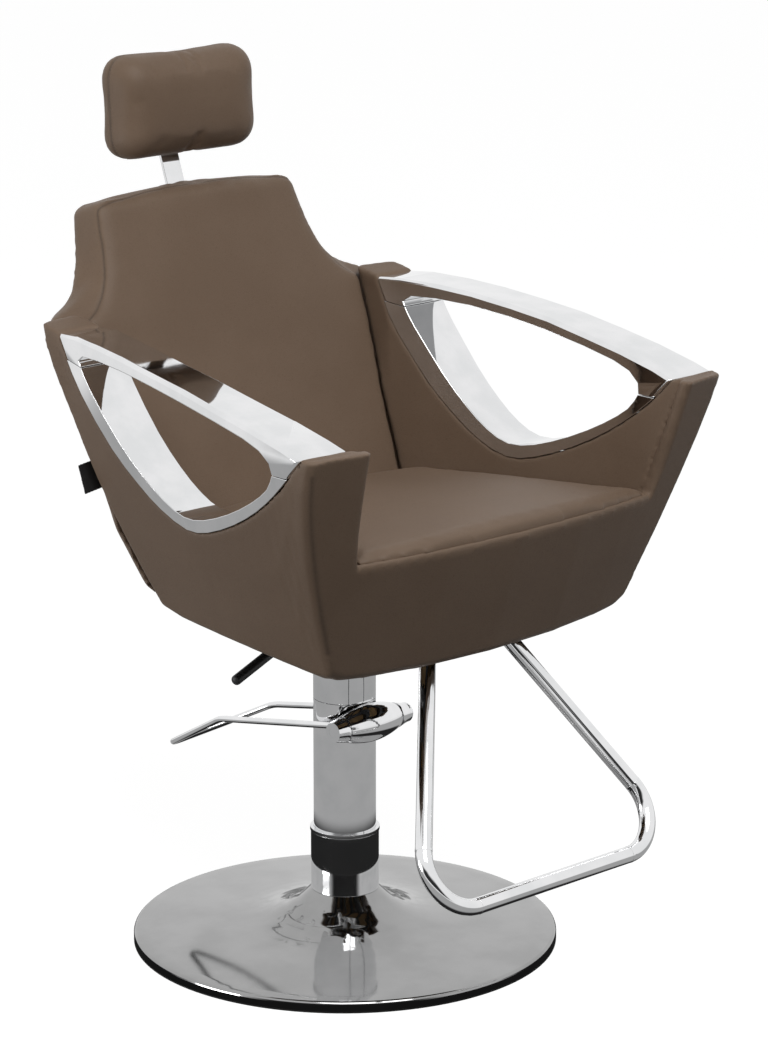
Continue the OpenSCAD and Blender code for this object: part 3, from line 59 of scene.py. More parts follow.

# The studio: a white floor that keeps a soft shadow, pale walls, and two large soft boxes. Polished
# metal sees the floor with a painted shadow, darkest near the chair, and a dark band low down on the
# photographer's side.


class Wire:
    """A socket in a material's nodes. Python's sums and products on wires add Math nodes."""

    def __init__(self, tree, socket=None):
        self.tree = tree
        self.socket = socket

    def make(self, kind, settings=None, sockets=None, out=0):
        """Adds a node: its settings first, then values or links for its sockets."""
        node = self.tree.nodes.new(kind)
        for name, value in (settings or {}).items():
            setattr(node, name, value)
        for name, value in (sockets or {}).items():
            if isinstance(value, Wire):
                self.tree.links.new(value.socket, node.inputs[name])
            else:
                node.inputs[name].default_value = value
        return Wire(self.tree, node.outputs[out] if len(node.outputs) else None)

    def maths(self, operation, a, b=0.0, c=0.0, clamp=False):
        settings = {"operation": operation, "use_clamp": clamp}
        return self.make("ShaderNodeMath", settings, {0: a, 1: b, 2: c})

    def __add__(self, other):
        return self.maths("ADD", self, other)

    def __radd__(self, other):
        return self.maths("ADD", other, self)

    def __sub__(self, other):
        return self.maths("SUBTRACT", self, other)

    def __rsub__(self, other):
        return self.maths("SUBTRACT", other, self)

    def __mul__(self, other):
        return self.maths("MULTIPLY", self, other)

    def __rmul__(self, other):
        return self.maths("MULTIPLY", other, self)

    def ramped(self, low, high, start=0.0, end=1.0):
        """Goes from start to end, smoothly, while this wire goes from low to high."""
        settings = {"interpolation_type": "SMOOTHSTEP"}
        sockets = {"Value": self, "From Min": low, "From Max": high, "To Min": start, "To Max": end}
        return self.make("ShaderNodeMapRange", settings, sockets)

    def blended(self, first, second):
        """Mixes two colours by this wire."""
        settings = {"data_type": "RGBA"}
        return self.make("ShaderNodeMix", settings, {0: self, 6: first, 7: second}, out=2)

    def between(self, first, second):
        """Mixes two numbers by this wire."""
        settings = {"data_type": "FLOAT"}
        return self.make("ShaderNodeMix", settings, {0: self, 2: first, 3: second}, out=0)


def linear(red, green, blue):
    """The value that a shader needs for a colour read off a screen, 0 to 255."""
    parts = []
    for part in (red, green, blue):
        share = part / 255
        parts.append(share / 12.92 if share <= 0.04045 else ((share + 0.055) / 1.055) ** 2.4)
    return (*parts, 1)


floor_size = 40
floor_drop = 0.0004
floor_glow = 0.75
floor_glow_strength = 1.25
floor_bounce = linear(118, 118, 118)
floor_white = linear(252, 252, 252)
# a painted shadow on the floor as polished metal sees it, darkest near the column and lighter in two
# steps: [from this reach, to this reach, strength before, strength after], in metres from the column
floor_mirror_painted_shadow = [(0.47, 0.56, 0.02, 0.42), (1.9, 2.7, 0.0, 0.5)]


def ray_kinds(start):
    """A material's wires for rays seen straight on or through glass, and for mirrored rays."""
    seen = start.make("ShaderNodeLightPath", out=0)
    glossed = start.make("ShaderNodeLightPath", out=3)
    through = start.make("ShaderNodeLightPath", out=6)
    return (seen + through).maths("MINIMUM", seen + through, 1.0), glossed


bpy.ops.object.select_all(action="DESELECT")
bpy.ops.mesh.primitive_plane_add(size=floor_size, location=(0, 0, -floor_drop))
floor = bpy.context.object
floor.name = "studio_floor"
floor_paint = bpy.data.materials.new("studio_floor_paint")
floor_paint.use_nodes = True
floor_paint.node_tree.nodes.clear()
start = Wire(floor_paint.node_tree)
direct, glossed = ray_kinds(start)
spot = start.make("ShaderNodeTexCoord", out=3)
reach = start.make("ShaderNodeVectorMath", {"operation": "LENGTH"}, {0: spot}, out=1)
# Polished metal sees the floor as a glow with a painted shadow: nearly black near the column, then
# lighter further out.
mirrored = reach.ramped(*floor_mirror_painted_shadow[0]) + reach.ramped(*floor_mirror_painted_shadow[1])
matt = start.make("ShaderNodeBsdfDiffuse", {}, {"Color": floor_bounce})
white = start.make("ShaderNodeBsdfDiffuse", {}, {"Color": floor_white})
glow = start.make("ShaderNodeEmission", {}, {"Color": (1, 1, 1, 1), "Strength": floor_glow_strength})
bright = start.make("ShaderNodeMixShader", {}, {0: floor_glow, 1: white, 2: glow})
mirror_glow_painted_shadow = start.make("ShaderNodeEmission", {}, {"Color": (1, 1, 1, 1), "Strength": mirrored})
both = start.make("ShaderNodeMixShader", {}, {0: direct, 1: matt, 2: bright})
both = start.make("ShaderNodeMixShader", {}, {0: glossed, 1: both, 2: mirror_glow_painted_shadow})
start.make("ShaderNodeOutputMaterial", {}, {"Surface": both})
floor.data.materials.append(floor_paint)

sky = bpy.data.worlds.new("studio_walls")
sky.use_nodes = True
sky.node_tree.nodes.clear()
bpy.context.scene.world = sky
start = Wire(sky.node_tree)
direct, glossed = ray_kinds(start)
way = start.make("ShaderNodeTexCoord", out=0)
toward = start.make("ShaderNodeVectorMath", {"operation": "DOT_PRODUCT"},
                    {0: way, 1: (math.sin(view_turn), -math.cos(view_turn), 0)}, out=1)
forward = start.make("ShaderNodeVectorMath", {"operation": "DOT_PRODUCT"},
                     {0: way, 1: (0, -1, 0)}, out=1)
height = start.make("ShaderNodeSeparateXYZ", {}, {0: way}, out=2)
# The walls are bright in polished metal but for a dark band low down behind the photographer. On
# everything else they fill the shadows, less from the front.
band_light = 0.03
fill_ramp = (-0.2, 0.9, 0.28, 0.04)
band = toward.ramped(0.55, 0.8) * height.ramped(0.28, 0.45, 1.0, 0.0)
mirror_light = band.between(1.0, band_light)
fill_light = forward.ramped(*fill_ramp)
strength = glossed.between(fill_light, mirror_light)
strength = direct.between(strength, 1.0)
walls = start.make("ShaderNodeBackground", {}, {"Color": (1, 1, 1, 1), "Strength": strength})
start.make("ShaderNodeOutputWorld", {}, {"Surface": walls})

# [where it stands, its width, its height, its power in watts]
soft_boxes = {
    "overhead": ((-0.9, -1.9, 3.4), 2.4, 2.4, 84),
    "left_side": ((-3.2, 1.2, 0.34), 1.6, 0.6, 33),
}
aim = Vector((0, 0, 0.65))
for name, (place, wide, high, watts) in soft_boxes.items():
    place = Vector(place)
    turn = (aim - place).to_track_quat("-Z", "Y").to_euler()
    bpy.ops.object.light_add(type="AREA", location=place, rotation=turn)
    lamp = bpy.context.object
    lamp.name = name
    lamp.data.shape = "RECTANGLE"
    lamp.data.size = wide
    lamp.data.size_y = high
    lamp.data.energy = watts

# The floor disc: a spun aluminium cover, polished, whose low cone sweeps up in a dome to the
# column. Inside it are a cast iron weight and a rubber pad that keeps it off the floor.


def new_finish(name):
    """An empty material of nodes, its first wire, and the wire of the object's coordinates."""
    finish = bpy.data.materials.new(name)
    finish.use_nodes = True
    finish.node_tree.nodes.clear()
    start = Wire(finish.node_tree)
    return finish, start, start.make("ShaderNodeTexCoord", out=3)


def close_finish(start, sockets):
    """Ends a material's nodes in one Principled shader."""
    shader = start.make("ShaderNodeBsdfPrincipled", {}, sockets)
    start.make("ShaderNodeOutputMaterial", {}, {"Surface": shader})


merge_reach = 0.00001


def cad_copy(name, nodes):
    """One free mesh of the CAD solids of a place, its loose triangles merged."""
    bpy.ops.object.select_all(action="DESELECT")
    for node in nodes:
        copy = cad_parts[node].copy()
        copy.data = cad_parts[node].data.copy()
        copy.parent = None
        bpy.context.collection.objects.link(copy)
        copy.select_set(True)
        bpy.context.view_layer.objects.active = copy
    if len(nodes) > 1:
        bpy.ops.object.join()
    piece = bpy.context.object
    piece.name = name
    piece.data.name = name
    piece.data.materials.clear()
    bpy.ops.object.mode_set(mode="EDIT")
    bpy.ops.mesh.select_all(action="SELECT")
    bpy.ops.mesh.remove_doubles(threshold=merge_reach)
    bpy.ops.mesh.normals_make_consistent(inside=False)
    bpy.ops.object.mode_set(mode="OBJECT")
    return piece


def apply_last(piece):
    """Applies the modifier that was added last."""
    bpy.ops.object.modifier_apply(modifier=piece.modifiers[-1].name)


quad_face_turn = math.radians(20)
quad_shape_turn = math.radians(40)


def polished_copy(node, body, finish, edge=0.0006, crease=32, shape=None):
    """A CAD metal piece made again with broken edges and smooth shading, for clean reflections.

    The edge is its bevel in metres, the crease the angle in degrees above which an edge is sharp,
    and the shape a function from a point to its new place.
    """
    piece = cad_copy(node + "_polished", [node])
    for point in piece.data.vertices if shape else ():
        point.co = shape(point.co)
    bpy.ops.object.mode_set(mode="EDIT")
    bpy.ops.mesh.select_all(action="SELECT")
    bpy.ops.mesh.tris_convert_to_quads(face_threshold=quad_face_turn,
                                       shape_threshold=quad_shape_turn)
    bpy.ops.object.mode_set(mode="OBJECT")
    bpy.ops.object.shade_smooth_by_angle(angle=math.radians(crease))
    bpy.ops.object.modifier_add(type="BEVEL")
    bevel = piece.modifiers[-1]
    bevel.width = edge
    bevel.segments = 2
    bevel.limit_method = "ANGLE"
    bevel.angle_limit = math.radians(crease)
    bevel.use_clamp_overlap = True
    bevel.harden_normals = True
    apply_last(piece)
    piece.data.materials.append(finish)
    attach(piece, body)
    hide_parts(node)
    return piece


def dress(finish, nodes):
    """Gives CAD nodes, whose shape stays as it is, their finish."""
    for node in nodes:
        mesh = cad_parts[node].data
        mesh.materials.clear()
        mesh.materials.append(finish)


polish, start, place = new_finish("polished_aluminium")
reach = start.make("ShaderNodeVectorMath", {"operation": "LENGTH"}, {0: place}, out=1)
rings = start.make("ShaderNodeTexNoise", {"noise_dimensions": "1D"},
                   {"W": reach * 900.0, "Detail": 2.0})
smear = start.make("ShaderNodeTexNoise", {}, {"Vector": place, "Scale": 14.0, "Detail": 5.0})
tone = smear.ramped(0.3, 0.7).blended(linear(150, 150, 150), linear(160, 160, 160))
close_finish(start, {"Base Color": tone,
                     "Roughness": 0.05 + 0.03 * rings + 0.03 * smear, "Metallic": 1.0})
turned_crease = 14
disc_crease = 16
polished_copy("base_cover", "base", polish, crease=disc_crease)

iron, start, place = new_finish("cast_iron")
pits = start.make("ShaderNodeTexNoise", {}, {"Vector": place, "Scale": 260.0, "Detail": 6.0})
bump = start.make("ShaderNodeBump", {}, {"Strength": 0.5, "Distance": 0.0006, "Height": pits})
close_finish(start, {"Base Color": pits.blended(linear(52, 50, 48), linear(84, 80, 76)),
                     "Roughness": 0.6 + 0.25 * pits, "Metallic": 0.6, "Normal": bump})
dress(iron, ["weight_plate"])

rubber, start, place = new_finish("black_rubber")
dust = start.make("ShaderNodeTexNoise", {}, {"Vector": place, "Scale": 60.0, "Detail": 6.0})
close_finish(start, {"Base Color": dust.blended(linear(15, 15, 15), linear(28, 28, 27)),
                     "Roughness": 0.8 + 0.15 * dust})
dress(rubber, ["floor_pad"])

# The column: a chromed pump cylinder under a sliding cover sleeve, a collar with a bright ring
# where it meets the disc, and the flange and bolts inside the disc that hold it upright.
chrome, start, place = new_finish("mirror_chrome")
smear = start.make("ShaderNodeTexNoise", {}, {"Vector": place, "Scale": 24.0, "Detail": 5.0})
waves = start.make("ShaderNodeTexNoise", {}, {"Vector": place, "Scale": 11.0, "Detail": 1.0})
bump = start.make("ShaderNodeBump", {}, {"Strength": 0.08, "Distance": 0.0015, "Height": waves})
tone = smear.ramped(0.3, 0.7).blended(linear(222, 223, 224), linear(231, 231, 232))
close_finish(start, {"Base Color": tone, "Roughness": 0.03 + 0.03 * smear.ramped(0.45, 0.75),
                     "Metallic": 1.0, "Normal": bump})
ring_edge = 0.0003
polished_copy("column_sleeve", "lift", chrome, crease=turned_crease)
polished_copy("column_collar", "base", chrome, crease=turned_crease)
polished_copy("collar_ring", "base", chrome, ring_edge, turned_crease)
dress(chrome, ["pump_cylinder"])

paint, start, place = new_finish("black_powder_coat")
peel = start.make("ShaderNodeTexNoise", {}, {"Vector": place, "Scale": 420.0, "Detail": 2.0})
bump = start.make("ShaderNodeBump", {}, {"Strength": 0.25, "Distance": 0.0003, "Height": peel})
close_finish(start, {"Base Color": peel.blended(linear(32, 32, 34), linear(48, 48, 50)),
                     "Roughness": 0.42 + 0.16 * peel, "Normal": bump})
dress(paint, ["column_flange"])

steel, start, place = new_finish("turned_steel")
tool = start.make("ShaderNodeTexNoise", {}, {"Vector": place, "Scale": 120.0, "Detail": 5.0})
close_finish(start, {"Base Color": tool.blended(linear(150, 151, 153), linear(178, 178, 180)),
                     "Roughness": 0.22 + 0.12 * tool, "Metallic": 1.0})
dress(steel, ["flange_bolts"])

# The foot pump: a chromed head across the column with a domed cap, and a pedal of two bent rods
# that run back to one flat tip. A shaft, a plunger and a bush inside lift the rod.
rod_edge = 0.0004
polished_copy("pump_head", "base", chrome)
polished_copy("pump_end_cap", "pedal", chrome)
polished_copy("pedal_loop", "pedal", chrome, rod_edge)
dress(chrome, ["pedal_shaft"])
dress(steel, ["pump_plunger", "lift_rod", "rod_piston", "swivel_cone"])

plastic, start, place = new_finish("black_moulding")
spark = start.make("ShaderNodeTexNoise", {}, {"Vector": place, "Scale": 700.0, "Detail": 2.0})
bump = start.make("ShaderNodeBump", {}, {"Strength": 0.2, "Distance": 0.0002, "Height": spark})
close_finish(start, {"Base Color": spark.blended(linear(30, 30, 31), linear(42, 42, 43)),
                     "Roughness": 0.38 + 0.12 * spark, "Normal": bump})
dress(plastic, ["guide_bush"])

# The seat's underside: a welded, powder-coated frame on a swivel plate, with brackets that hold
# the side panels and sockets for the footrest, and a plywood board under the cushion.
dress(paint, ["seat_frame", "swivel_plate", "panel_brackets", "footrest_sockets"])
dress(steel, ["plate_bolts", "footrest_bolts"])

wood, start, place = new_finish("plywood")
long_way = start.make("ShaderNodeMapping", {}, {"Vector": place, "Scale": (1.0, 0.12, 1.0)})
fibre = start.make("ShaderNodeTexNoise", {}, {"Vector": long_way, "Scale": 90.0, "Detail": 6.0})
bump = start.make("ShaderNodeBump", {}, {"Strength": 0.3, "Distance": 0.0004, "Height": fibre})
close_finish(start, {"Base Color": fibre.blended(linear(156, 121, 80), linear(196, 164, 118)),
                     "Roughness": 0.62 + 0.15 * fibre, "Normal": bump})
dress(wood, ["seat_board"])

# The footrest: one closed loop of bent chromed tube, its two upper ends screwed into the sockets.
polished_copy("footrest_loop", "seat", chrome, rod_edge)

# The release lever: a steel rod from under the seat's side, with a dark moulded grip, that works
# the gas spring between the seat frame and the backrest.
polished_copy("lever_grip", "lever", plastic, rod_edge)
dress(steel, ["lever_rod", "gas_spring_rod"])
dress(plastic, ["gas_spring_tube"])
dress(paint, ["lever_block"])

# The armrests: cast and polished, each a broad plate along the top of its window and a liner that
# goes round the window's edge, with softly rounded edges all over.
plate_rear_start = 0.1
plate_rear_long = 0.09
plate_rear_fall = 0.0025
plate_top_from = 0.85
plate_edge = 0.0018
liner_edge = 0.0012


def ease_rear(spot):
    """Lets the plate's top fall slightly towards its rear end, where it mirrors the backrest."""
    share = max(0.0, spot.y - plate_rear_start) / plate_rear_long
    return spot - Vector((0, 0, plate_rear_fall * share * share * (spot.z > plate_top_from)))


for side in ("left", "right"):
    polished_copy("arm_plate_" + side, "seat", chrome, plate_edge, shape=ease_rear)
    polished_copy("window_liner_" + side, "seat", chrome, liner_edge)

# The seat cushion: foam under smooth brown leather, crowned, with a rolled front lip that lies
# over the front panel. The leather's grain is a fine pebble with broad, faint creases.
leather_tones = (linear(115, 95, 78), linear(121, 101, 84))
leather_worn = linear(128, 111, 96)
leather_pores_and_seam_shade = linear(78, 65, 55)
wear_share = 0.25
seam_painted_shade_share = 0.85
pore_share = 0.35
leather, start, place = new_finish("brown_leather")
broad = start.make("ShaderNodeTexNoise", {}, {"Vector": place, "Scale": 7.0, "Detail": 3.0})
pores = start.make("ShaderNodeTexVoronoi", {"feature": "DISTANCE_TO_EDGE"},
                   {"Vector": place, "Scale": 620.0})
crease = start.make("ShaderNodeTexNoise", {},
                    {"Vector": place, "Scale": 180.0, "Detail": 4.0, "Roughness": 0.6})
folds = start.make("ShaderNodeTexNoise", {},
                   {"Vector": place, "Scale": 16.0, "Detail": 2.0, "Distortion": 0.8})
worn = start.make("ShaderNodeAttribute", {"attribute_name": "wear"}, out=2)
deep = start.make("ShaderNodeAttribute", {"attribute_name": "seam"}, out=2)
tone = broad.ramped(0.3, 0.7).blended(*leather_tones)
tone = pores.ramped(0.0, 0.1, pore_share, 0.0).blended(tone, leather_pores_and_seam_shade)
tone = (worn * wear_share).blended(tone, leather_worn)
# Painted shade: the leather is painted darker along the marked seams and folds, where their grooves
# would be shaded.
tone = (deep * seam_painted_shade_share).blended(tone, leather_pores_and_seam_shade)
shine = 0.47 + 0.1 * broad - 0.06 * worn + 0.12 * pores.ramped(0.0, 0.12, 1.0, 0.0)
pebble = pores.ramped(0.0, 0.25) * 0.6 + crease * 0.4
fine = start.make("ShaderNodeBump", {}, {"Strength": 0.3, "Distance": 0.0004, "Height": pebble})
bump = start.make("ShaderNodeBump", {},
                  {"Strength": 0.12, "Distance": 0.004, "Height": folds, "Normal": fine})
close_finish(start, {"Base Color": tone, "Roughness": shine, "Normal": bump,
                     "Specular IOR Level": 0.26, "Sheen Weight": 0.02, "Sheen Roughness": 0.5})


def cut_skin(name, nodes, voxel, smoothings):
    """A leather skin over the CAD solids of a place, remeshed finely and eased."""
    skin = cad_copy(name, nodes)
    bpy.ops.object.modifier_add(type="REMESH")
    remesh = skin.modifiers[-1]
    remesh.mode = "VOXEL"
    remesh.voxel_size = voxel
    apply_last(skin)
    ease_skin(skin, smoothings)
    return skin


def ease_skin(skin, times):
    """Smooths a skin a number of times."""
    bpy.ops.object.modifier_add(type="SMOOTH")
    ease = skin.modifiers[-1]
    ease.factor = 0.5
    ease.iterations = times
    apply_last(skin)


pad_pressure = 4
pad_frames = 20


def stuff(skin, cap):
    """Swells a skin from inside by a cloth simulation, and holds each point within the cap."""
    scene = bpy.context.scene
    rest = [point.co.copy() for point in skin.data.vertices]
    bpy.ops.object.modifier_add(type="CLOTH")
    cloth = skin.modifiers[-1]
    cloth.settings.quality = 3
    cloth.settings.use_pressure = True
    cloth.settings.uniform_pressure_force = pad_pressure
    cloth.settings.effector_weights.gravity = 0
    cloth.point_cache.frame_start = 1
    cloth.point_cache.frame_end = pad_frames
    for step in range(1, pad_frames + 1):
        scene.frame_set(step)
    apply_last(skin)
    for point, start in zip(skin.data.vertices, rest):
        shift = point.co - start
        if shift.length > cap:
            point.co = start + shift * (cap / shift.length)
    scene.frame_set(1)


def divide_skin(skin):
    """Divides each face of a finished skin once."""
    bpy.ops.object.modifier_add(type="SUBSURF")
    divide = skin.modifiers[-1]
    divide.levels = 1
    divide.render_levels = 1
    apply_last(skin)


def steps_along(path, step):
    """Points at even steps along a path of corners."""
    points = [Vector(path[0])]
    left = step
    for first, last in zip(path, path[1:]):
        first, last = Vector(first), Vector(last)
        run = (last - first).length
        gone = left
        while gone <= run:
            points.append(first.lerp(last, gone / run))
            gone += step
        left = gone - run
    return points


def sink_seam(skin, path, reach, depth):
    """Draws the skin in along a seam, and marks how near the seam each point is, where the leather
    gets painted shade.
    """
    points = steps_along(path, reach / 3)
    tree = KDTree(len(points))
    for index, point in enumerate(points):
        tree.insert(point, index)
    tree.balance()
    mesh = skin.data
    mark = mesh.attributes.get("seam") or mesh.attributes.new("seam", "FLOAT", "POINT")
    pulls = []
    for point in mesh.vertices:
        away = tree.find(point.co)[2]
        pulls.append(max(0.0, 1 - away / reach) ** 2)
    ways = [point.normal.copy() for point in mesh.vertices]
    for point, pull, way in zip(mesh.vertices, pulls, ways):
        if pull > 0:
            point.co -= way * (depth * pull)
            mark.data[point.index].value = max(mark.data[point.index].value, pull)


def wear_skin(skin, full):
    """Marks the ridges of a skin, where hands and clothes rub the leather paler."""
    mesh = skin.data
    count = len(mesh.vertices)
    bend = [0.0] * count
    links = [0] * count
    for edge in mesh.edges:
        one, two = (mesh.vertices[index] for index in edge.vertices)
        step = two.co - one.co
        long = max(step.length, 0.0001)
        bend[one.index] -= one.normal.dot(step) / long
        bend[two.index] += two.normal.dot(step) / long
        links[one.index] += 1
        links[two.index] += 1
    bend = [value / max(1, number) for value, number in zip(bend, links)]
    for turn in range(3):
        total = list(bend)
        for edge in mesh.edges:
            one, two = edge.vertices
            total[one] += bend[two]
            total[two] += bend[one]
        bend = [value / (number + 1) for value, number in zip(total, links)]
    mark = mesh.attributes.new("wear", "FLOAT", "POINT")
    mark.data.foreach_set("value", [min(1.0, max(0.0, value / full)) for value in bend])


thread, start, place = new_finish("brown_thread")
twist = start.make("ShaderNodeTexWave", {"bands_direction": "DIAGONAL"},
                   {"Vector": place, "Scale": 900.0})
close_finish(start, {"Base Color": twist.blended(linear(80, 67, 56), linear(98, 84, 71)),
                     "Roughness": 0.6 + 0.1 * twist})
stitch_pitch = 0.0042
stitch_long = 0.0028
stitch_thick = 0.00038
stitch_proud = 0.25


def sew(name, skin, path, body):
    """A row of stitches along a path on a skin: one bead of thread, copied and joined."""
    bpy.ops.object.select_all(action="DESELECT")
    bpy.ops.mesh.primitive_uv_sphere_add(segments=6, ring_count=4, radius=1, location=(0, 0, 0))
    bead = bpy.context.object
    bead.scale = (stitch_thick, stitch_long / 2, stitch_thick)
    bpy.ops.object.transform_apply(location=False, rotation=False, scale=True)
    bpy.ops.object.shade_smooth()
    spots = steps_along(path, stitch_pitch)
    places = []
    for first, last in zip(spots, spots[1:]):
        spot, up = skin.closest_point_on_mesh((first + last) / 2)[1:3]
        along = (last - first).normalized()
        along = (along - up * along.dot(up)).normalized()
        turn = Matrix((along.cross(up).normalized(), along, up)).transposed().to_4x4()
        places.append(Matrix.Translation(spot + up * stitch_thick * stitch_proud) @ turn)
    row = []
    for place in places:
        copy = bead.copy()
        copy.data = bead.data.copy()
        copy.matrix_world = place
        bpy.context.collection.objects.link(copy)
        row.append(copy)
    bpy.data.objects.remove(bead)
    bpy.ops.object.select_all(action="DESELECT")
    for copy in row:
        copy.select_set(True)
    bpy.context.view_layer.objects.active = row[0]
    bpy.ops.object.join()
    bpy.ops.object.transform_apply(location=True, rotation=True, scale=True)
    stitches = bpy.context.object
    stitches.name = name
    stitches.data.name = name
    stitches.data.materials.append(thread)
    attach(stitches, body)


def finish_skin(skin, body, nodes, finish):
    """Smooth shading, the leather, and the piece's place on the chair."""
    bpy.ops.object.select_all(action="DESELECT")
    skin.select_set(True)
    bpy.context.view_layer.objects.active = skin
    bpy.ops.object.shade_smooth()
    skin.data.materials.append(finish)
    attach(skin, body)
    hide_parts(*nodes)


def sharpen(skin, reach, across, along):
    """Fills out an edge that the remesh ate: points that face both ways move out both ways."""
    ways = [point.normal.copy() for point in skin.data.vertices]
    for point, way in zip(skin.data.vertices, ways):
        if reach(point.co):
            turn = max(0.0, way.dot(across[0])) * max(0.0, way.dot(along[0]))
            point.co += (across[0] * across[1] + along[0] * along[1]) * min(1.0, 2 * turn)


pad_wear = 0.1
lip_bow_r = 2.94
lip_front = 0.3
lip_top = 0.65
lip_out = 0.003
lip_down = 0.0045
to_front = Vector((0, -1, 0))
to_top = Vector((0, 0, 1))
seat = cut_skin("seat_leather", ["seat_cushion"], 0.0048, 4)
stuff(seat, 0.004)
ease_skin(seat, 2)
sharpen(seat, lambda spot: spot.z < lip_top and spot.y < spot.x ** 2 / lip_bow_r - lip_front,
        (to_front, lip_out), (-to_top, lip_down))
ease_skin(seat, 2)
wear_skin(seat, pad_wear)
divide_skin(seat)
finish_skin(seat, "seat", ["seat_cushion"], leather)

# The front and side panels: boards with thin foam, covered in the same leather as one smooth shell
# that meets the armrests' windows. Each stays a piece of its own, parted where the boards meet.
shell_nodes = ["front_panel", "side_panel_left", "side_panel_right"]
shell_names = ["front_leather", "side_leather_left", "side_leather_right"]
horn_inner = 0.262
front_edge_low = 0.615
front_edge_high = 0.645
front_edge_out = 0.002
front_edge_up = 0.003
wing_low = 0.847
wing_front = 0.168
wing_smoothings = 22
# the fold between a side panel and the front: where it is looked for, and how it is drawn in and
# painted with shade
fold_step = 0.003
fold_low = 0.5
fold_high = 0.783
fold_ways = [Vector((-0.6, -0.8, 0)), Vector((0.6, -0.8, 0))]
fold_reach = 0.006
fold_depth = 0.0008
fold_even = 5
shell = cut_skin("shell_leather", shell_nodes, 0.0029, 5)
sharpen(shell, lambda spot: abs(spot.x) < horn_inner and front_edge_low < spot.z < front_edge_high,
        (to_front, front_edge_out), (to_top, front_edge_up))
wing = shell.vertex_groups.new(name="wing")
tops = [point.index for point in shell.data.vertices
        if point.co.z > wing_low and point.co.y > wing_front]
wing.add(tops, 1, "REPLACE")
bpy.ops.object.modifier_add(type="SMOOTH")
shell.modifiers[-1].iterations = wing_smoothings
shell.modifiers[-1].vertex_group = "wing"
apply_last(shell)
wear_skin(shell, 0.12)
for way in fold_ways:
    corners = {}
    for point in shell.data.vertices:
        step = round(point.co.z / fold_step)
        far = point.co.dot(way)
        if fold_low < point.co.z < fold_high and far > corners.get(step, (0, None))[0]:
            corners[step] = (far, point.co.copy())
    line = [corners[step][1] for step in sorted(corners)]
    line = [sum(line[spot - fold_even:spot + fold_even + 1], Vector()) / (2 * fold_even + 1)
            for spot in range(fold_even, len(line) - fold_even)]
    sink_seam(shell, line, fold_reach, fold_depth)
kept = shell.data.attributes.new("kept_normal", "FLOAT_VECTOR", "POINT")
ways = [point.normal.copy() for point in shell.data.vertices]
kept.data.foreach_set("vector", [part for way in ways for part in way])

# Each panel keeps the faces nearest its own board. The cut is closed, and the shell's own normals
# stay on it, so the leather shades as one across the fold.
boards = [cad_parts[node] for node in shell_nodes]
owners = []
for face in shell.data.polygons:
    gaps = [(board.closest_point_on_mesh(face.center)[1] - face.center).length for board in boards]
    owners.append(gaps.index(min(gaps)))
for turn, (name, node) in enumerate(zip(shell_names, shell_nodes)):
    bpy.ops.object.select_all(action="DESELECT")
    panel = shell.copy()
    panel.data = shell.data.copy()
    panel.name = name
    panel.data.name = name
    bpy.context.collection.objects.link(panel)
    panel.select_set(True)
    bpy.context.view_layer.objects.active = panel
    bpy.ops.object.mode_set(mode="EDIT")
    bpy.ops.mesh.select_all(action="DESELECT")
    bpy.ops.object.mode_set(mode="OBJECT")
    for face, owner in zip(panel.data.polygons, owners):
        face.select = owner != turn
    bpy.ops.object.mode_set(mode="EDIT")
    bpy.ops.mesh.select_mode(type="FACE")
    bpy.ops.mesh.delete(type="FACE")
    bpy.ops.mesh.select_mode(type="VERT")
    bpy.ops.mesh.select_all(action="SELECT")
    bpy.ops.mesh.fill_holes(sides=0)
    bpy.ops.mesh.select_all(action="DESELECT")
    bpy.ops.object.mode_set(mode="OBJECT")
    for face in panel.data.polygons:
        face.select = len(face.vertices) > 4
    bpy.ops.object.mode_set(mode="EDIT")
    bpy.ops.mesh.select_mode(type="FACE")
    bpy.ops.mesh.poke()
    bpy.ops.mesh.select_mode(type="VERT")
    bpy.ops.object.mode_set(mode="OBJECT")
    finish_skin(panel, "seat", [node], leather)
    kept = panel.data.attributes["kept_normal"]
    normals = []
    for mark, point in zip(kept.data, panel.data.vertices):
        normal = Vector(mark.vector)
        normals.append(normal if normal.length > 0.5 else point.normal)
    panel.data.normals_split_custom_set_from_vertices(normals)
bpy.data.objects.remove(shell)

# The backrest: a foam cushion and a padded shell sewn into one cover, with a stitched seam round
# its front face and a gusset that flares out behind the armrests.
# [height, half width, depth] of the front seam, from the seat to the top
front_seam = [(0.59, 0.2162, 0.1164), (0.64, 0.2211, 0.1385), (0.7, 0.2264, 0.165),
              (0.76, 0.2362, 0.1915), (0.81, 0.2427, 0.2136), (0.841, 0.2457, 0.2273),
              (0.859, 0.2424, 0.2353), (0.8671, 0.2267, 0.2389), (0.8759, 0.2172, 0.2428),
              (0.8849, 0.2082, 0.2467), (0.8987, 0.1996, 0.2528), (0.9157, 0.1922, 0.2604),
              (0.9392, 0.1866, 0.2708), (0.9703, 0.1817, 0.2845), (0.991, 0.1765, 0.294)]
top_rise = 0.0177
top_start = 0.002
top_lean = 0.44
top_shares = (0.8, 0.4, 0, -0.4, -0.8)
seam_step = 0.006
back_seam_reach = 0.004
back_seam_depth = 0.0012
back = cut_skin("back_leather", ["back_cushion", "back_shell"], 0.0052, 4)
stuff(back, 0.0035)
ease_skin(back, 2)
wear_skin(back, pad_wear)
divide_skin(back)
corner = front_seam[-1]
arc = [(corner[1] * share, corner[2] + top_rise * (1 - share * share) * top_lean,
        corner[0] + top_start + top_rise * (1 - share * share)) for share in top_shares]
seam = [(half, deep, high) for high, half, deep in front_seam]
seam += arc + [(-half, deep, high) for high, half, deep in reversed(front_seam)]
seam = [tuple(back.closest_point_on_mesh(spot)[1]) for spot in steps_along(seam, seam_step)]
sink_seam(back, seam, back_seam_reach, back_seam_depth)
finish_skin(back, "back", ["back_cushion", "back_shell"], leather)
sew("back_stitches", back, seam, "back")

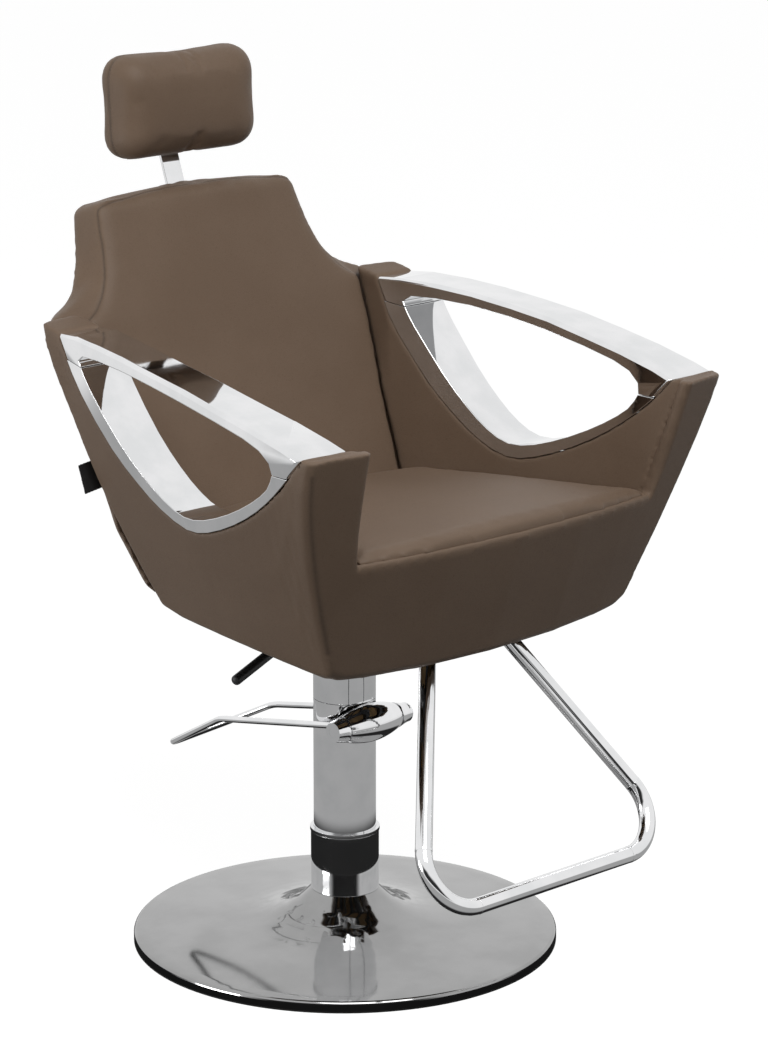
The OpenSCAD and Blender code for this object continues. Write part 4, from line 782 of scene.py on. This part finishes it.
# The headrest: a small pad on a board, slightly waisted, wrapped in the same leather with a
# stitched seam round its side.
head_low, head_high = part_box("headrest_pad")
head_middle = (Vector(head_low) + Vector(head_high)) / 2
head_half = (Vector(head_high) - Vector(head_low)) / 2
head_lean = math.radians(3)
head_draw_in = 0.0065
head_draw_down = 0.001
head_end_share = 0.35
head_drop = 0.004
head_thick = 0.062
head_rear_out = 0.0015
head_front_out = 0.007
head_corner_out = 0.006
head_seam_place = 0.028
head_seam_steps = 160
head_seam_reach = 0.0035
head_seam_depth = 0.0014
head_stitch_ahead = 0.0028
head_clear = 0.25
turn = Matrix.Rotation(-head_lean, 3, "X")
head = cut_skin("headrest_leather", ["headrest_pad", "headrest_board"], 0.004, 3)
stuff(head, 0.003)
ease_skin(head, 2)
for point in head.data.vertices:
    across = (point.co.x - head_middle.x) / head_half.x
    up = (point.co.z - head_middle.z) / head_half.z
    corner = min(1.0, (abs(across) * abs(up)) ** 3)
    waist = head_end_share + (1 - head_end_share) * max(0.0, 1 - up * up)
    point.co.x -= across * (head_draw_in * waist - head_corner_out * corner)
    point.co.z -= up * (head_draw_down - head_corner_out * corner)
    ahead = 0.5 - (turn.inverted() @ (point.co - head_middle)).y / head_thick
    point.co.y += head_rear_out - (head_rear_out + head_front_out) * min(1.0, max(0.0, ahead))
    point.co.z -= head_drop
wear_skin(head, pad_wear)
divide_skin(head)
head_back = max((turn.inverted() @ (point.co - head_middle)).y for point in head.data.vertices)
middle = head_middle + turn @ Vector((0, head_back - head_seam_place, 0))
ring = []
for step in range(head_seam_steps):
    angle = math.tau * step / head_seam_steps
    out = turn @ Vector((math.cos(angle) * head_clear, 0, math.sin(angle) * head_clear))
    hit, spot = head.ray_cast(middle + out, -out)[:2]
    if hit:
        ring.append(tuple(spot))
ring.append(ring[0])
sink_seam(head, ring, head_seam_reach, head_seam_depth)
finish_skin(head, "headrest", ["headrest_pad"], leather)
ahead = turn @ Vector((0, -head_stitch_ahead, 0))
sew("headrest_stitches", head, [tuple(Vector(spot) + ahead) for spot in ring], "headrest")
dress(wood, ["headrest_board"])
dress(paint, ["back_frame", "hinge_brackets", "headrest_socket", "headrest_bracket"])
dress(steel, ["hinge_pins"])
bar_edge = 0.0008
polished_copy("headrest_bar", "headrest", chrome, bar_edge)

# The tab: a folded strip of black woven tape, sewn into the shell's side seam, with nothing on it.
tape, start, place = new_finish("black_tape")
rows = start.make("ShaderNodeTexWave", {"bands_direction": "Z"},
                  {"Vector": place, "Scale": 400.0, "Distortion": 0.4})
bump = start.make("ShaderNodeBump", {}, {"Strength": 0.4, "Distance": 0.0002, "Height": rows})
tone = rows.blended(linear(14, 14, 15), linear(30, 30, 32))
close_finish(start, {"Base Color": tone, "Roughness": 0.75 + 0.1 * rows, "Normal": bump,
                     "Sheen Weight": 0.2})
tab = cut_skin("tab_tape", ["side_tab"], 0.0008, 1)
finish_skin(tab, "back", ["side_tab"], tape)
